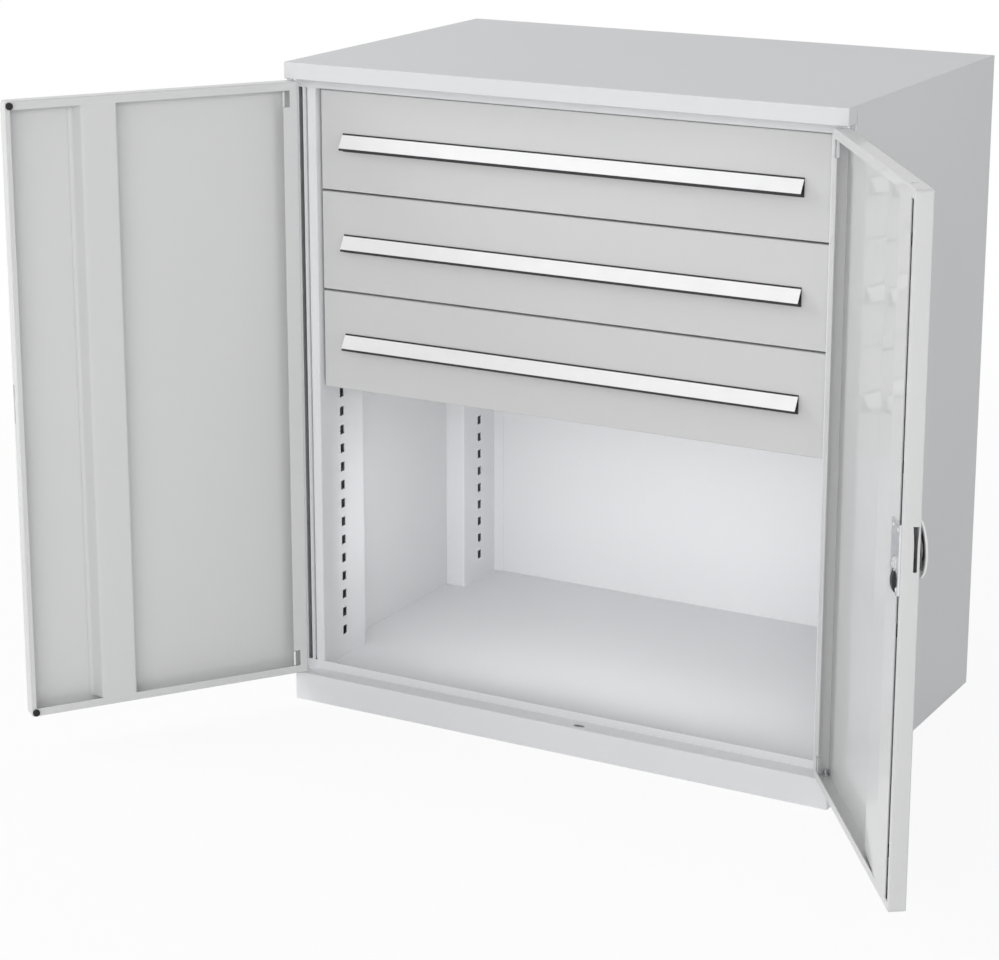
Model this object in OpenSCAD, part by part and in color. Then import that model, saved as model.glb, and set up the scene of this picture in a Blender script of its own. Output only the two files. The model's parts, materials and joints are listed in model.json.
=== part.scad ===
/* [Cabinet] */
// Overall width of the cabinet
cab_w = 930; // [860:5:1200]
// Overall depth of the cabinet, without the open doors
cab_d = 600; // [580:5:800]
// Overall height of the cabinet
cab_h = 1040; // [980:5:1400]
// Thickness of the folded steel sheet
sheet = 1.5; // [1.2:0.1:2]
// Height of the top cover's front nose
rim_h = 26; // [22:1:40]
// Height of the front plinth
plinth_h = 46; // [40:1:80]
// Distance from the front plane back to the stiles, the top rail and the floor lip
frame_setback = 30; // [29:0.5:40]
// Width of the side panel's front hem
hem_w = 7; // [5:0.5:9]
// Width of the side panel's rear flange
rear_flange_w = 22; // [15:1:40]
// How far the top front rail hangs below the nose
top_rail_drop = 16; // [14:1:30]
// Depth of the top front rail's lower flange
top_rail_flange = 25; // [15:1:40]
// Height of the floor's top above the plinth
floor_rise = 4; // [3:0.5:10]
// Height of the floor's front lip above the plinth
lip_h = 14; // [12:1:25]
// Width of each base rail under the floor
base_rail_w = 60; // [40:1:90]
// Depth of the rear plinth's foot flange
rear_foot_d = 30; // [20:1:50]

/* [Uprights] */
// Distance from the cabinet's side to the uprights' slotted face
upright_w = 37; // [33:0.5:50]
// Depth of the front uprights, front to back
front_upright_d = 128; // [80:1:150]
// Depth of the rear uprights, front to back
rear_upright_d = 110; // [80:1:150]
// Width of the stile face on the front uprights
stile_w = 24; // [16:0.5:25]
// Depth of the stile's inner return
stile_return = 15; // [6:1:25]
// Width of the rear uprights' return along the back panel
back_return = 18; // [10:1:30]
// Width of a shelf slot
slot_w = 12; // [6:0.5:14]
// Height of a shelf slot
slot_h = 15; // [8:0.5:20]
// Pitch of the shelf slots
slot_pitch = 31; // [25:0.5:50]
// Height of the lowest slot above the floor
slot_first = 37; // [20:1:80]

/* [Doors] */
// Thickness of a door
door_t = 24; // [22:0.5:26]
// Gap above and below each door
door_gap = 3; // [2:0.5:5]
// Gap between a door's hinge edge and the cabinet's side plane
door_side_gap = 1; // [0.5:0.5:3]
// Gap between the two doors
door_mid_gap = 4; // [3:0.5:6]
// How far the doors stand open at rest, in degrees
door_open_deg = 125; // [90:1:130]
// Width of the inner return along the hinge edge
hinge_return = 25; // [18:0.5:35]
// Width of the inner return along a door's free edge
free_return = 8; // [5:0.5:12]
// Width of the inner returns along the top and bottom of a door
end_return = 13; // [13:0.5:20]
// Distance from the left door's free edge to the foot of its stiffener's slope
left_slope_start = 107; // [95:1:150]
// Width of the left stiffener's slope
left_slope_w = 9; // [6:1:30]
// Width of the left stiffener's flat crown
left_crown_w = 56; // [40:1:90]
// Distance from the right door's free edge to its stiffener's crown
right_crown_start = 21; // [16:0.5:25]
// Width of the right stiffener's flat crown
right_crown_w = 56; // [48:1:60]
// Width of the right stiffener's slope
right_slope_w = 95; // [60:1:110]
// How far the right stiffener's slope falls below its crown
right_slope_drop = 8; // [4:0.5:10]
// Width of a stiffener's foot on the door's skin
stiffener_foot = 16; // [8:1:25]
// Radius of a door bumper
bumper_r = 5.5; // [4:0.25:6]
// Distance of a bumper's centre from the door's top or bottom edge
bumper_end_inset = 7; // [6.5:0.25:9]
// Distance of a bumper's centre from the door's free edge
bumper_side_inset = 7; // [6.5:0.25:9]
// Clearance between a bumper and its stop on a closed door
bumper_gap = 0.3; // [0.3:0.1:1]

/* [Hinges] */
// Distance of the hinge axis from the door's hinge edge
hinge_inset = 6; // [5.8:0.1:7]
// Distance of the hinge axis from the door's outer face
hinge_setback = 7.2; // [7.1:0.1:12]
// Radius of a hinge pin
pin_r = 3; // [2.5:0.1:3.2]
// Radial running clearance of a pin in its bush
pin_fit = 0.05; // [0.02:0.01:0.1]
// Wall of a hinge bush
bush_wall = 1.1; // [0.8:0.1:1.2]
// Radius of the collars of bushes and pins
collar_r = 5.4; // [5:0.1:5.6]
// Length of a hinge bush inside the door
bush_len = 9; // [6:0.5:15]
// How far a pin passes its bush inside the door
pin_past = 3; // [1:0.5:6]
// Thickness of a pin's collar inside the carcass
pin_collar_h = 3; // [2:0.5:5]
// Clearance between a bush collar and the carcass
thrust_gap = 0.3; // [0.3:0.1:0.6]
// Height of the notch in the hinge return beside a hinge
notch_h = 26; // [15:1:35]
// Width of that notch
notch_w = 12; // [8:0.5:15]

/* [Drawers] */
// Height of a drawer front
drawer_h = 156; // [145:1:160]
// Gap between drawer fronts
drawer_gap = 3; // [2:0.5:6]
// Gap between a drawer front and the uprights beside it
drawer_side_gap = 3; // [2:0.5:6]
// Distance from the cabinet's front plane to the drawer fronts
front_setback = 41; // [41:0.5:55]
// Thickness of a drawer front
front_t = 16; // [12:0.5:20]
// Width of the returns behind a drawer front
front_return = 25; // [18:0.5:40]
// Height of a drawer tray
tray_h = 110; // [90:1:130]
// Height of a tray's underside above the lower edge of its front
tray_lift = 12; // [8:0.5:16]
// Distance of a drawer tray's back from the back panel
tray_back_gap = 60; // [40:5:140]
// How far a drawer slides out
drawer_travel = 430; // [300:5:450]
// Room for the rails on each side of a tray
slide_t = 13; // [12.5:0.5:16]
// Height of the outer rails
slide_h = 46; // [36:1:50]
// Running clearance between the rails
slide_fit = 0.3; // [0.3:0.05:0.5]
// Height of the rails' centre line above a tray's underside
slide_lift = 48; // [35:1:60]
// Distance of the rails from the back of the drawer front
slide_start = 4; // [2:0.5:10]
// Gap beside the webs of the middle rails
web_gap = 1.5; // [1:0.1:2]

/* [Drawer handles] */
// Distance of a handle's ends from the ends of its drawer front
handle_inset = 40; // [20:1:80]
// Height of a handle's fold below the top of its drawer front
handle_drop = 67; // [40:1:75]
// Height of a handle's sloped face
handle_slope_h = 21; // [16:0.5:26]
// How far a handle stands out of its drawer front
handle_out = 14; // [10:0.25:14]
// Thickness of the handle profile
handle_wall = 1.5; // [1:0.1:2]
// Height of the lip under the sloped face
handle_lip = 2.5; // [1:0.25:4]
// How far the handle's back plate reaches below the sloped face
handle_tail = 6; // [2:0.5:12]
// Thickness of the label strip
label_t = 0.7; // [0.4:0.1:0.8]
// Margin of the label strip above and below it on the sloped face
label_margin = 1; // [0.5:0.1:2]

/* [Lock] */
// Height of the turn handle's axis above the floor
lock_z = 536; // [480:1:560]
// Distance of the turn handle's axis from the right door's free edge
spindle_inset = 45; // [42:0.5:48]
// Radius of the spindle
spindle_r = 5; // [4:0.1:5.5]
// Radial running clearance of the spindle in its rose
spindle_fit = 0.05; // [0.02:0.01:0.1]
// Radius of the turn handle
handle_r = 39; // [36:0.5:42]
// Height of the turn handle's rim above the back of its hub
handle_rim_h = 8; // [7.5:0.25:8.5]
// Depth of the relief round the hub in the back of the turn handle
back_relief = 4; // [3:0.25:4.5]
// Radius of the hub in the back of the turn handle
hub_r = 17; // [14:0.5:20]
// Height of the turn handle at its middle
handle_h = 12; // [11:0.5:14]
// Width of the grip bar between the turn handle's finger hollows
grip_w = 15; // [14:0.5:20]
// Radius of the finger hollows' outer wall
hollow_r = 33; // [28:0.5:34]
// Height of the finger hollows' floor above the back of the hub
hollow_floor = 6; // [5.5:0.25:6.5]
// Radius of the handle rose
rose_r = 30; // [24:0.5:33]
// Thickness of the handle rose
rose_t = 3; // [2:0.25:4]
// Clearance between the turn handle and its rose
handle_gap = 0.3; // [0.3:0.05:0.6]
// Radius of the lock plug
plug_r = 5.5; // [4:0.1:6]
// Radial running clearance of the lock plug
plug_fit = 0.05; // [0.02:0.01:0.1]
// Length of the lock plug
plug_len = 7; // [5:0.5:8]
// Reach of the hook from the spindle's axis
hook_reach = 57; // [53:0.5:60]
// How far the hook's slot in a free edge reaches below the hook
hook_slot_drop = 10; // [2:0.5:14]
// Width of the hook's arm
hook_w = 16; // [12:0.5:18]
// Thickness of the hook plate
hook_t = 3; // [2:0.25:3]
// Radius of a lock rod
rod_r = 4; // [3:0.1:4.5]
// Travel of a lock rod in a quarter turn
rod_stroke = 15; // [12:0.5:16]
// Radial running clearance of a rod in its guides
rod_fit = 0.06; // [0.03:0.01:0.1]
// Radial clearance of a rod in the door's flanges and of its strike holes
rod_clear = 0.6; // [0.4:0.1:1]
// How much longer than wide a rod's strike slot is
strike_len = 9; // [4:0.5:12]
// Radius of the drive pins on the cam
drive_pin_r = 2.5; // [2:0.1:2.8]
// Play of a drive pin in its yoke
yoke_play = 0.7; // [0.6:0.05:0.9]
// Wall of a yoke round its slot
yoke_wall = 3; // [2:0.25:4]
// Thickness of the cam, the yokes and the lock case's walls
lock_sheet = 1.5; // [1.2:0.1:1.7]
// Height of the lock case
case_h = 96; // [88:1:104]
// How far the lock case rises above the turn handle's axis
case_rise = 44; // [36:1:44]
// Width of the lock case
case_w = 42; // [36:0.5:50]
// Distance of the lock case from the right door's free edge
case_inset = 5; // [3:0.5:6]
// How far the lock case stands out of the door
case_t = 3; // [2.5:0.25:4]
// Radius of a lock case screw's head
screw_r = 3; // [2:0.25:3.5]
// Height of a lock case screw's head
screw_h = 1.5; // [1:0.1:2]
// Distance of a lock case screw from the case's edges
screw_inset = 8; // [5:0.5:12]
// Height of the grip on the lock case
lock_grip_h = 30; // [20:1:36]
// Width of that grip
lock_grip_w = 10; // [6:0.5:14]
// How far that grip stands out of the lock case
lock_grip_out = 4; // [3:0.25:8]
// Distance of that grip's middle below the turn handle's axis
lock_grip_drop = 36; // [33:0.5:36]
// Width of a rod guide
guide_w = 18; // [12:0.5:24]
// Length of a rod guide along its rod
guide_len = 14; // [10:0.5:24]
// Depth of a rod guide
guide_d = 19; // [18.5:0.25:20.5]
// Distance of the outer rod guides from the ends of the door
guide_end = 70; // [40:1:120]
// Distance of the inner rod guides from the turn handle's axis
guide_near = 110; // [90:1:150]

/* [Hidden] */
$fn = 64;
PAINT = "gainsboro";
DRAWER_PAINT = "lightgray";
STEEL = "silver";
BLACK = [0.1, 0.1, 0.1];

// Planes of the carcass, with the origin on the floor under its middle, +X right and -Y to the front
half_w = cab_w / 2;
front_y = -cab_d / 2;
back_y = cab_d / 2;
stile_y = front_y + frame_setback;
nose_z = cab_h - rim_h;
cover_z = cab_h - sheet;
rail_z = nose_z - top_rail_drop;
floor_z = plinth_h + floor_rise;
lip_z = plinth_h + lip_h;
web_x = half_w - upright_w;
back_panel_y = back_y - 2 * sheet;

// Shelf slots in one upright
slots = floor((rail_z - floor_z - slot_first - slot_h) / slot_pitch) + 1;
front_slot_y = stile_y + front_upright_d / 2;
rear_slot_y = back_panel_y - rear_upright_d / 2;

// Doors, in the place of a closed right door
hinge_edge_x = half_w - door_side_gap;
free_edge_x = door_mid_gap / 2;
door_low = plinth_h + door_gap;
door_top = nose_z - door_gap;
door_back_y = front_y + door_t;
hinge_x = hinge_edge_x - hinge_inset;
hinge_y = front_y + hinge_setback;
bush_r = pin_r + pin_fit + bush_wall;

// Drawers, from the top down
front_face_y = front_y + front_setback;
tray_front_y = front_face_y + front_t;
front_half_w = web_x - drawer_side_gap;
tray_half_w = web_x - slide_t;
tray_d = back_panel_y - tray_back_gap - tray_front_y;
handle_half_w = front_half_w - handle_inset;
rail_y = tray_front_y + slide_start;
rail_len = tray_d - slide_start;
middle_half_h = slide_h / 2 - sheet - slide_fit;
inner_half_h = middle_half_h - sheet - slide_fit;
rail_back_x = web_x - sheet;
middle_back_x = rail_back_x - web_gap;
inner_front_x = tray_half_w + sheet;
function drawer_z(i) = rail_z - drawer_gap - (i + 1) * drawer_h - i * drawer_gap;

// Lock, in the place of a closed right door; depths count from the door's outer face
spindle_x = free_edge_x + spindle_inset;
cam_r = rod_stroke / sqrt(2);
cam_disc_r = cam_r + drive_pin_r + 2;
hook_depth = door_t / 2 - 7;
cam_depth = hook_depth + hook_t + 1;
near_yoke_depth = cam_depth + lock_sheet + 0.7;
far_yoke_depth = near_yoke_depth + lock_sheet + 1;
rod_depth = far_yoke_depth + lock_sheet / 2;
yoke_slot_h = 2 * (drive_pin_r + yoke_play);
yoke_half_h = yoke_slot_h / 2 + yoke_wall;
yoke_inner = cam_r * cos(45) - drive_pin_r - yoke_play;
yoke_outer = cam_r + drive_pin_r + yoke_play;
rod_clear_of_cam = cam_disc_r + rod_stroke / 2 + 5;
handle_back = rose_t + handle_gap;
handle_top = handle_back + handle_h;
socket_depth = handle_back + (handle_h - plug_len) / 2;

// A box between two corners
module block(low, high) {
    translate(low) cube(high - low);
}

// Left-hand pieces are mirror images of right-hand ones
module hand(side) {
    mirror([side < 0 ? 1 : 0, 0, 0]) children();
}

// Swings what is modelled on a closed door to its place at rest
module on_door(side) {
    hand(side)
        translate([hinge_x, hinge_y, 0])
            rotate([0, 0, door_open_deg])
                translate([-hinge_x, -hinge_y, 0])
                    children();
}

// Stands a cylinder along the depth of the door, from one depth to another
module depth_cylinder(r, from, to) {
    translate([spindle_x, front_y + from, lock_z])
        rotate([-90, 0, 0])
            cylinder(r = r, h = to - from);
}

// Carcass
module side_panel(side) {
    color(PAINT) hand(side) {
        block([half_w - sheet, stile_y, 0], [half_w, back_y, cover_z]);
        block([half_w - hem_w, stile_y, plinth_h], [half_w, stile_y + sheet, nose_z]);
        block([half_w - rear_flange_w, back_y - sheet, 0], [half_w, back_y, cover_z]);
    }
}

module back_panel() {
    color(PAINT)
        block([sheet - half_w, back_panel_y, floor_z], [half_w - sheet, back_y - sheet, cover_z]);
}

// The pin holes and the rod's strike slot, through a plate at height z
module hinge_holes(z) {
    for (side = [-1, 1]) {
        hand(side) translate([hinge_x, hinge_y, z - sheet]) cylinder(r = pin_r, h = 3 * sheet);
    }
    half = strike_len / 2;
    strike_r = rod_r + rod_clear;
    translate([spindle_x, front_y + rod_depth, z - sheet]) {
        for (x = [-half, half]) translate([x, 0, 0]) cylinder(r = strike_r, h = 3 * sheet);
        block([-half, -strike_r, 0], [half, strike_r, 3 * sheet]);
    }
}

module top_cover() {
    color(PAINT) difference() {
        union() {
            block([-half_w, front_y, cover_z], [half_w, back_y, cab_h]);
            difference() {
                block([-half_w, front_y, nose_z], [half_w, stile_y, cab_h]);
                block([sheet - half_w, front_y + sheet, nose_z + sheet],
                    [half_w - sheet, stile_y + 1, cover_z]);
            }
        }
        hinge_holes(nose_z);
    }
}

module top_front_rail() {
    rail_half_w = half_w - hem_w;
    color(PAINT) {
        block([-rail_half_w, stile_y, rail_z], [rail_half_w, stile_y + sheet, cover_z]);
        block([-rail_half_w, stile_y, rail_z], [rail_half_w, stile_y + top_rail_flange, rail_z + sheet]);
    }
}

module floor_panel() {
    color(PAINT) {
        block([sheet - half_w, stile_y + sheet, floor_z - sheet], [half_w - sheet, back_y - sheet, floor_z]);
        block([hem_w - half_w, stile_y, plinth_h], [half_w - hem_w, stile_y + sheet, lip_z]);
    }
}

module plinth_front() {
    inner_half_w = half_w - sheet;
    color(PAINT) difference() {
        union() {
            difference() {
                block([-half_w, front_y, 0], [half_w, stile_y, plinth_h]);
                block([-inner_half_w, front_y + sheet, -1], [inner_half_w, stile_y - sheet, plinth_h - sheet]);
            }
            block([-inner_half_w, front_y, plinth_h - sheet], [inner_half_w, stile_y + sheet, plinth_h]);
        }
        hinge_holes(plinth_h - sheet);
    }
}

module plinth_rear() {
    color(PAINT) {
        block([sheet - half_w, back_panel_y, 0], [half_w - sheet, back_y - sheet, floor_z - sheet]);
        block([sheet - half_w, back_panel_y - rear_foot_d, 0], [half_w - sheet, back_panel_y, sheet]);
    }
}

// Channels under the floor that carry its load to the ground
module base_rails() {
    half = base_rail_w / 2;
    color(PAINT) for (i = [-1, 0, 1]) {
        translate([0, i * cab_d / 4, 0]) difference() {
            block([sheet - half_w, -half, 0], [half_w - sheet, half, floor_z - sheet]);
            block([-half_w, sheet - half, sheet], [half_w, half - sheet, floor_z]);
        }
    }
}

module shelf_slots(y) {
    for (i = [0 : slots - 1]) {
        z = floor_z + slot_first + i * slot_pitch;
        block([web_x - 1, y - slot_w / 2, z], [web_x + sheet + 1, y + slot_w / 2, z + slot_h]);
    }
}

module front_upright(side) {
    stile_x = web_x + stile_w;
    rear_y = stile_y + front_upright_d;
    color(PAINT) hand(side) difference() {
        union() {
            block([web_x, stile_y + sheet, floor_z], [web_x + sheet, rear_y, rail_z]);
            block([web_x, stile_y, lip_z], [stile_x, stile_y + sheet, rail_z]);
            block([stile_x - sheet, stile_y, lip_z], [stile_x, stile_y + stile_return, rail_z]);
            block([web_x, rear_y - sheet, floor_z], [half_w - sheet, rear_y, rail_z]);
        }
        shelf_slots(front_slot_y);
    }
}

module rear_upright(side) {
    start_y = back_panel_y - rear_upright_d;
    color(PAINT) hand(side) difference() {
        union() {
            block([web_x, start_y, floor_z], [web_x + sheet, back_panel_y, rail_z]);
            block([web_x, start_y, floor_z], [half_w - sheet, start_y + sheet, rail_z]);
            block([web_x - back_return, back_panel_y - sheet, floor_z], [web_x + sheet, back_panel_y, rail_z]);
        }
        shelf_slots(rear_slot_y);
    }
}

// One pin hangs in the nose and one stands in the plinth's ledge
module hinge_pins(side) {
    reach = bush_len + pin_past;
    ledge_z = plinth_h - sheet;
    nose_top = nose_z + sheet;
    color(STEEL) hand(side) translate([hinge_x, hinge_y, 0]) {
        translate([0, 0, door_top - reach]) cylinder(r = pin_r, h = nose_top + pin_collar_h - door_top + reach);
        translate([0, 0, nose_top]) cylinder(r = collar_r, h = pin_collar_h);
        translate([0, 0, ledge_z - pin_collar_h])
            cylinder(r = pin_r, h = door_low + reach - ledge_z + pin_collar_h);
        translate([0, 0, ledge_z - pin_collar_h]) cylinder(r = collar_r, h = pin_collar_h);
    }
}

// Doors
module hinge_bushes(side) {
    collar_h = door_gap - thrust_gap;
    color(BLACK) on_door(side) translate([hinge_x, hinge_y, 0]) difference() {
        union() {
            translate([0, 0, door_top - bush_len]) cylinder(r = bush_r, h = bush_len);
            translate([0, 0, door_top]) cylinder(r = collar_r, h = collar_h);
            translate([0, 0, door_low]) cylinder(r = bush_r, h = bush_len);
            translate([0, 0, door_low - collar_h]) cylinder(r = collar_r, h = collar_h);
        }
        translate([0, 0, 0]) cylinder(r = pin_r + pin_fit, h = cab_h);
    }
}

// A folded pan with inner returns, notched beside its hinges
module door_pan() {
    window_x = hinge_edge_x - hinge_return;
    difference() {
        block([free_edge_x, front_y, door_low], [hinge_edge_x, door_back_y, door_top]);
        block([free_edge_x + sheet, front_y + sheet, door_low + sheet],
            [hinge_edge_x - sheet, door_back_y - sheet, door_top - sheet]);
        block([free_edge_x + free_return, front_y + sheet, door_low + end_return],
            [window_x, door_back_y + 1, door_top - end_return]);
        for (z = [door_low + end_return, door_top - end_return - notch_h]) {
            block([window_x - 1, door_back_y - 2 * sheet, z],
                [window_x + notch_w, door_back_y + 1, z + notch_h]);
        }
        for (z = [door_low, door_top]) {
            translate([hinge_x, hinge_y, z - 2 * sheet]) cylinder(r = bush_r, h = 4 * sheet);
        }
    }
}

// The hook's way through a door's free edge, from one side of the edge to the other
module hook_slot() {
    wide = spindle_inset + door_mid_gap + 2 * sheet;
    rise = sqrt(pow(hook_reach, 2) - pow(spindle_inset, 2)) + hook_w / 2;
    block([spindle_x - wide, front_y + hook_depth - 1, lock_z - hook_w / 2 - hook_slot_drop],
        [free_edge_x + 2 * sheet, front_y + hook_depth + hook_t + 1, lock_z + rise]);
}

module left_door_shell() {
    color(PAINT) on_door(-1) difference() {
        door_pan();
        mirror([1, 0, 0]) hook_slot();
    }
}

module right_door_shell() {
    color(PAINT) on_door(1) difference() {
        door_pan();
        hook_slot();
        depth_cylinder(spindle_r + rod_clear, -1, 2 * sheet);
        for (z = [door_low, door_top]) {
            translate([spindle_x, front_y + rod_depth, z - 2 * sheet])
                cylinder(r = rod_r + rod_clear, h = 4 * sheet);
        }
    }
}

// A sheet profile over the door's skin, drawn from the free edge inwards
module stiffener(points) {
    translate([free_edge_x, front_y, door_low + end_return])
        linear_extrude(door_top - door_low - 2 * end_return)
            polygon(points);
}

module left_door_stiffener() {
    slope_end = left_slope_start + left_slope_w;
    crown_end = slope_end + left_crown_w;
    color(PAINT) on_door(-1) stiffener([
        [left_slope_start - stiffener_foot, sheet], [left_slope_start, sheet],
        [slope_end + 1, door_t - sheet], [crown_end - sheet, door_t - sheet],
        [crown_end - sheet, sheet], [crown_end + stiffener_foot, sheet],
        [crown_end + stiffener_foot, 2 * sheet], [crown_end, 2 * sheet],
        [crown_end, door_t], [slope_end, door_t],
        [left_slope_start - 1, 2 * sheet], [left_slope_start - stiffener_foot, 2 * sheet]]);
}

module right_door_stiffener() {
    crown_end = right_crown_start + right_crown_w;
    slope_end = crown_end + right_slope_w;
    slope_depth = door_t - right_slope_drop;
    color(PAINT) on_door(1) stiffener([
        [right_crown_start, door_t - sheet], [crown_end, door_t - sheet],
        [slope_end - sheet, slope_depth - sheet], [slope_end - sheet, sheet],
        [slope_end + stiffener_foot, sheet],
        [slope_end + stiffener_foot, 2 * sheet], [slope_end, 2 * sheet], [slope_end, slope_depth],
        [crown_end, door_t], [right_crown_start, door_t]]);
}

module left_door_bumpers() {
    color(BLACK) on_door(-1) for (z = [door_low + bumper_end_inset, door_top - bumper_end_inset]) {
        translate([free_edge_x + bumper_side_inset, door_back_y, z])
            rotate([-90, 0, 0])
                cylinder(r = bumper_r, h = frame_setback - door_t - bumper_gap);
    }
}

// Lock
module lock_case() {
    low = lock_z + case_rise - case_h;
    case_x = free_edge_x + case_inset;
    color(STEEL) on_door(1) difference() {
        block([case_x, door_back_y, low], [case_x + case_w, door_back_y + case_t, low + case_h]);
        block([case_x + lock_sheet, door_back_y - 1, low + lock_sheet],
            [case_x + case_w - lock_sheet, door_back_y + case_t - lock_sheet, low + case_h - lock_sheet]);
    }
}

module lock_case_screws() {
    case_x = free_edge_x + case_inset;
    color(STEEL) on_door(1)
        for (x = [case_x + screw_inset, case_x + case_w - screw_inset])
            for (z = [screw_inset, case_h - screw_inset])
                translate([x, door_back_y + case_t, lock_z + case_rise - z])
                    rotate([-90, 0, 0])
                        cylinder(r = screw_r, h = screw_h);
}

// A curved grip near the lower end of the lock case
module lock_grip() {
    middle_x = free_edge_x + case_inset + case_w / 2;
    middle_z = lock_z - lock_grip_drop;
    foot_y = door_back_y + case_t;
    curve_r = (pow(lock_grip_h / 2, 2) + pow(lock_grip_out, 2)) / (2 * lock_grip_out);
    color(BLACK) on_door(1) intersection() {
        block([middle_x - lock_grip_w / 2, foot_y, middle_z - lock_grip_h / 2],
            [middle_x + lock_grip_w / 2, foot_y + lock_grip_out, middle_z + lock_grip_h / 2]);
        translate([middle_x - lock_grip_w, foot_y + lock_grip_out - curve_r, middle_z])
            rotate([0, 90, 0])
                cylinder(r = curve_r, h = 2 * lock_grip_w);
    }
}

module rod_guides() {
    places = [door_low + guide_end, lock_z - guide_near, lock_z + guide_near, door_top - guide_end];
    color(BLACK) on_door(1) for (z = places) {
        difference() {
            block([spindle_x - guide_w / 2, front_y + sheet, z - guide_len / 2],
                [spindle_x + guide_w / 2, front_y + sheet + guide_d, z + guide_len / 2]);
            translate([spindle_x, front_y + rod_depth, z - guide_len])
                cylinder(r = rod_r + rod_fit, h = 2 * guide_len);
        }
    }
}

module handle_rose() {
    color(STEEL) on_door(1) difference() {
        depth_cylinder(rose_r, -rose_t, 0);
        depth_cylinder(spindle_r + spindle_fit, -rose_t - 1, 1);
    }
}

// A domed disc on a hub: finger hollows leave a grip bar, the plug's bore is in front and a socket behind
module turn_handle() {
    dome = (pow(handle_r, 2) + pow(handle_h - handle_rim_h, 2)) / (2 * (handle_h - handle_rim_h));
    color(STEEL) on_door(1) difference() {
        union() {
            depth_cylinder(hub_r, -handle_back - handle_rim_h, -handle_back);
            depth_cylinder(handle_r, -handle_back - handle_rim_h, -handle_back - back_relief);
            intersection() {
                depth_cylinder(handle_r, -handle_top, -handle_back - back_relief);
                translate([spindle_x, front_y - handle_top + dome, lock_z]) sphere(r = dome, $fn = 256);
            }
        }
        difference() {
            depth_cylinder(hollow_r, -handle_top - 1, -handle_back - hollow_floor);
            block([spindle_x - handle_r, front_y - handle_top - 2, lock_z - grip_w / 2],
                [spindle_x + handle_r, front_y, lock_z + grip_w / 2]);
        }
        depth_cylinder(plug_r + plug_fit, -handle_top - 1, -handle_top + plug_len);
        depth_cylinder(spindle_r, -socket_depth, 0);
    }
}

module handle_spindle() {
    color(STEEL) on_door(1) depth_cylinder(spindle_r, -socket_depth, cam_depth + lock_sheet);
}

// Points up while the doors are free, and lies across both free edges when they are locked
module hook_plate() {
    barb = hook_w / 2;
    color(STEEL) on_door(1) difference() {
        union() {
            depth_cylinder(hook_w * 0.75, hook_depth, hook_depth + hook_t);
            block([spindle_x - hook_w / 2, front_y + hook_depth, lock_z],
                [spindle_x + hook_w / 2, front_y + hook_depth + hook_t, lock_z + hook_reach - barb]);
            block([spindle_x - hook_w / 2, front_y + hook_depth, lock_z],
                [spindle_x, front_y + hook_depth + hook_t, lock_z + hook_reach]);
        }
        depth_cylinder(spindle_r, hook_depth - 1, hook_depth + hook_t + 1);
    }
}

// Turns with the spindle and lifts or drops the rods with two pins
module rod_cam() {
    pin_at = cam_r * cos(45);
    color(STEEL) on_door(1) {
        difference() {
            depth_cylinder(cam_disc_r, cam_depth, cam_depth + lock_sheet);
            depth_cylinder(spindle_r, cam_depth - 1, cam_depth + lock_sheet + 1);
        }
        translate([pin_at, 0, -pin_at]) depth_cylinder(drive_pin_r, cam_depth, far_yoke_depth + lock_sheet);
        translate([-pin_at, 0, pin_at]) depth_cylinder(drive_pin_r, cam_depth, near_yoke_depth + lock_sheet);
    }
}

// A round rod with a flat slotted end: way is 1 for the rod that rises and -1 for the one that drops
module rod(way, tip_z, depth) {
    pin_z = lock_z - way * cam_r * cos(45);
    root_z = lock_z + way * rod_clear_of_cam;
    plate_x = [spindle_x - way * rod_r, spindle_x + way * (yoke_outer + yoke_wall)];
    plate_z = [pin_z - way * yoke_half_h, root_z + way * rod_r];
    slot_x = [spindle_x + way * yoke_inner, spindle_x + way * yoke_outer];
    difference() {
        union() {
            translate([spindle_x, front_y + rod_depth, min(root_z, tip_z)])
                cylinder(r = rod_r, h = abs(tip_z - root_z));
            block([min(plate_x), front_y + depth, min(plate_z)],
                [max(plate_x), front_y + depth + lock_sheet, max(plate_z)]);
        }
        block([min(slot_x), front_y + depth - 1, pin_z - yoke_slot_h / 2],
            [max(slot_x), front_y + depth + lock_sheet + 1, pin_z + yoke_slot_h / 2]);
    }
}

module upper_rod() {
    color(STEEL) on_door(1) rod(1, door_top - sheet / 2, far_yoke_depth);
}

module lower_rod() {
    color(STEEL) on_door(1) rod(-1, door_low + sheet / 2, near_yoke_depth);
}

module lock_plug() {
    front = handle_top;
    slot = [plug_r * 1.4, 3, 1.5];
    color("gold") on_door(1) difference() {
        depth_cylinder(plug_r, -front, -front + plug_len);
        translate([spindle_x - slot[0] / 2, front_y - front - 1, lock_z - slot[2] / 2]) cube(slot);
    }
}

// Drawers
// A channel rail along the drawer, with its web at one side and its lips towards the other
module rail(web_side_x, lip_end_x, half_h) {
    way = lip_end_x < web_side_x ? -1 : 1;
    end_y = rail_y + rail_len;
    block([min(web_side_x, web_side_x + way * sheet), rail_y, -half_h],
        [max(web_side_x, web_side_x + way * sheet), end_y, half_h]);
    for (z = [-half_h, half_h - sheet]) {
        block([min(web_side_x, lip_end_x), rail_y, z], [max(web_side_x, lip_end_x), end_y, z + sheet]);
    }
}

module rails(i, web_side_x, lip_end_x, half_h) {
    color(STEEL) translate([0, 0, drawer_z(i) + tray_lift + slide_lift])
        for (side = [-1, 1]) hand(side) rail(web_side_x, lip_end_x, half_h);
}

module drawer_outer_rails(i) {
    rails(i, web_x, inner_front_x + web_gap / 2, slide_h / 2);
}

module drawer_middle_rails(i) {
    rails(i, middle_back_x, inner_front_x + web_gap, middle_half_h);
}

module drawer_inner_rails(i) {
    rails(i, tray_half_w, middle_back_x - sheet - web_gap / 2, inner_half_h);
}

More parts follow.
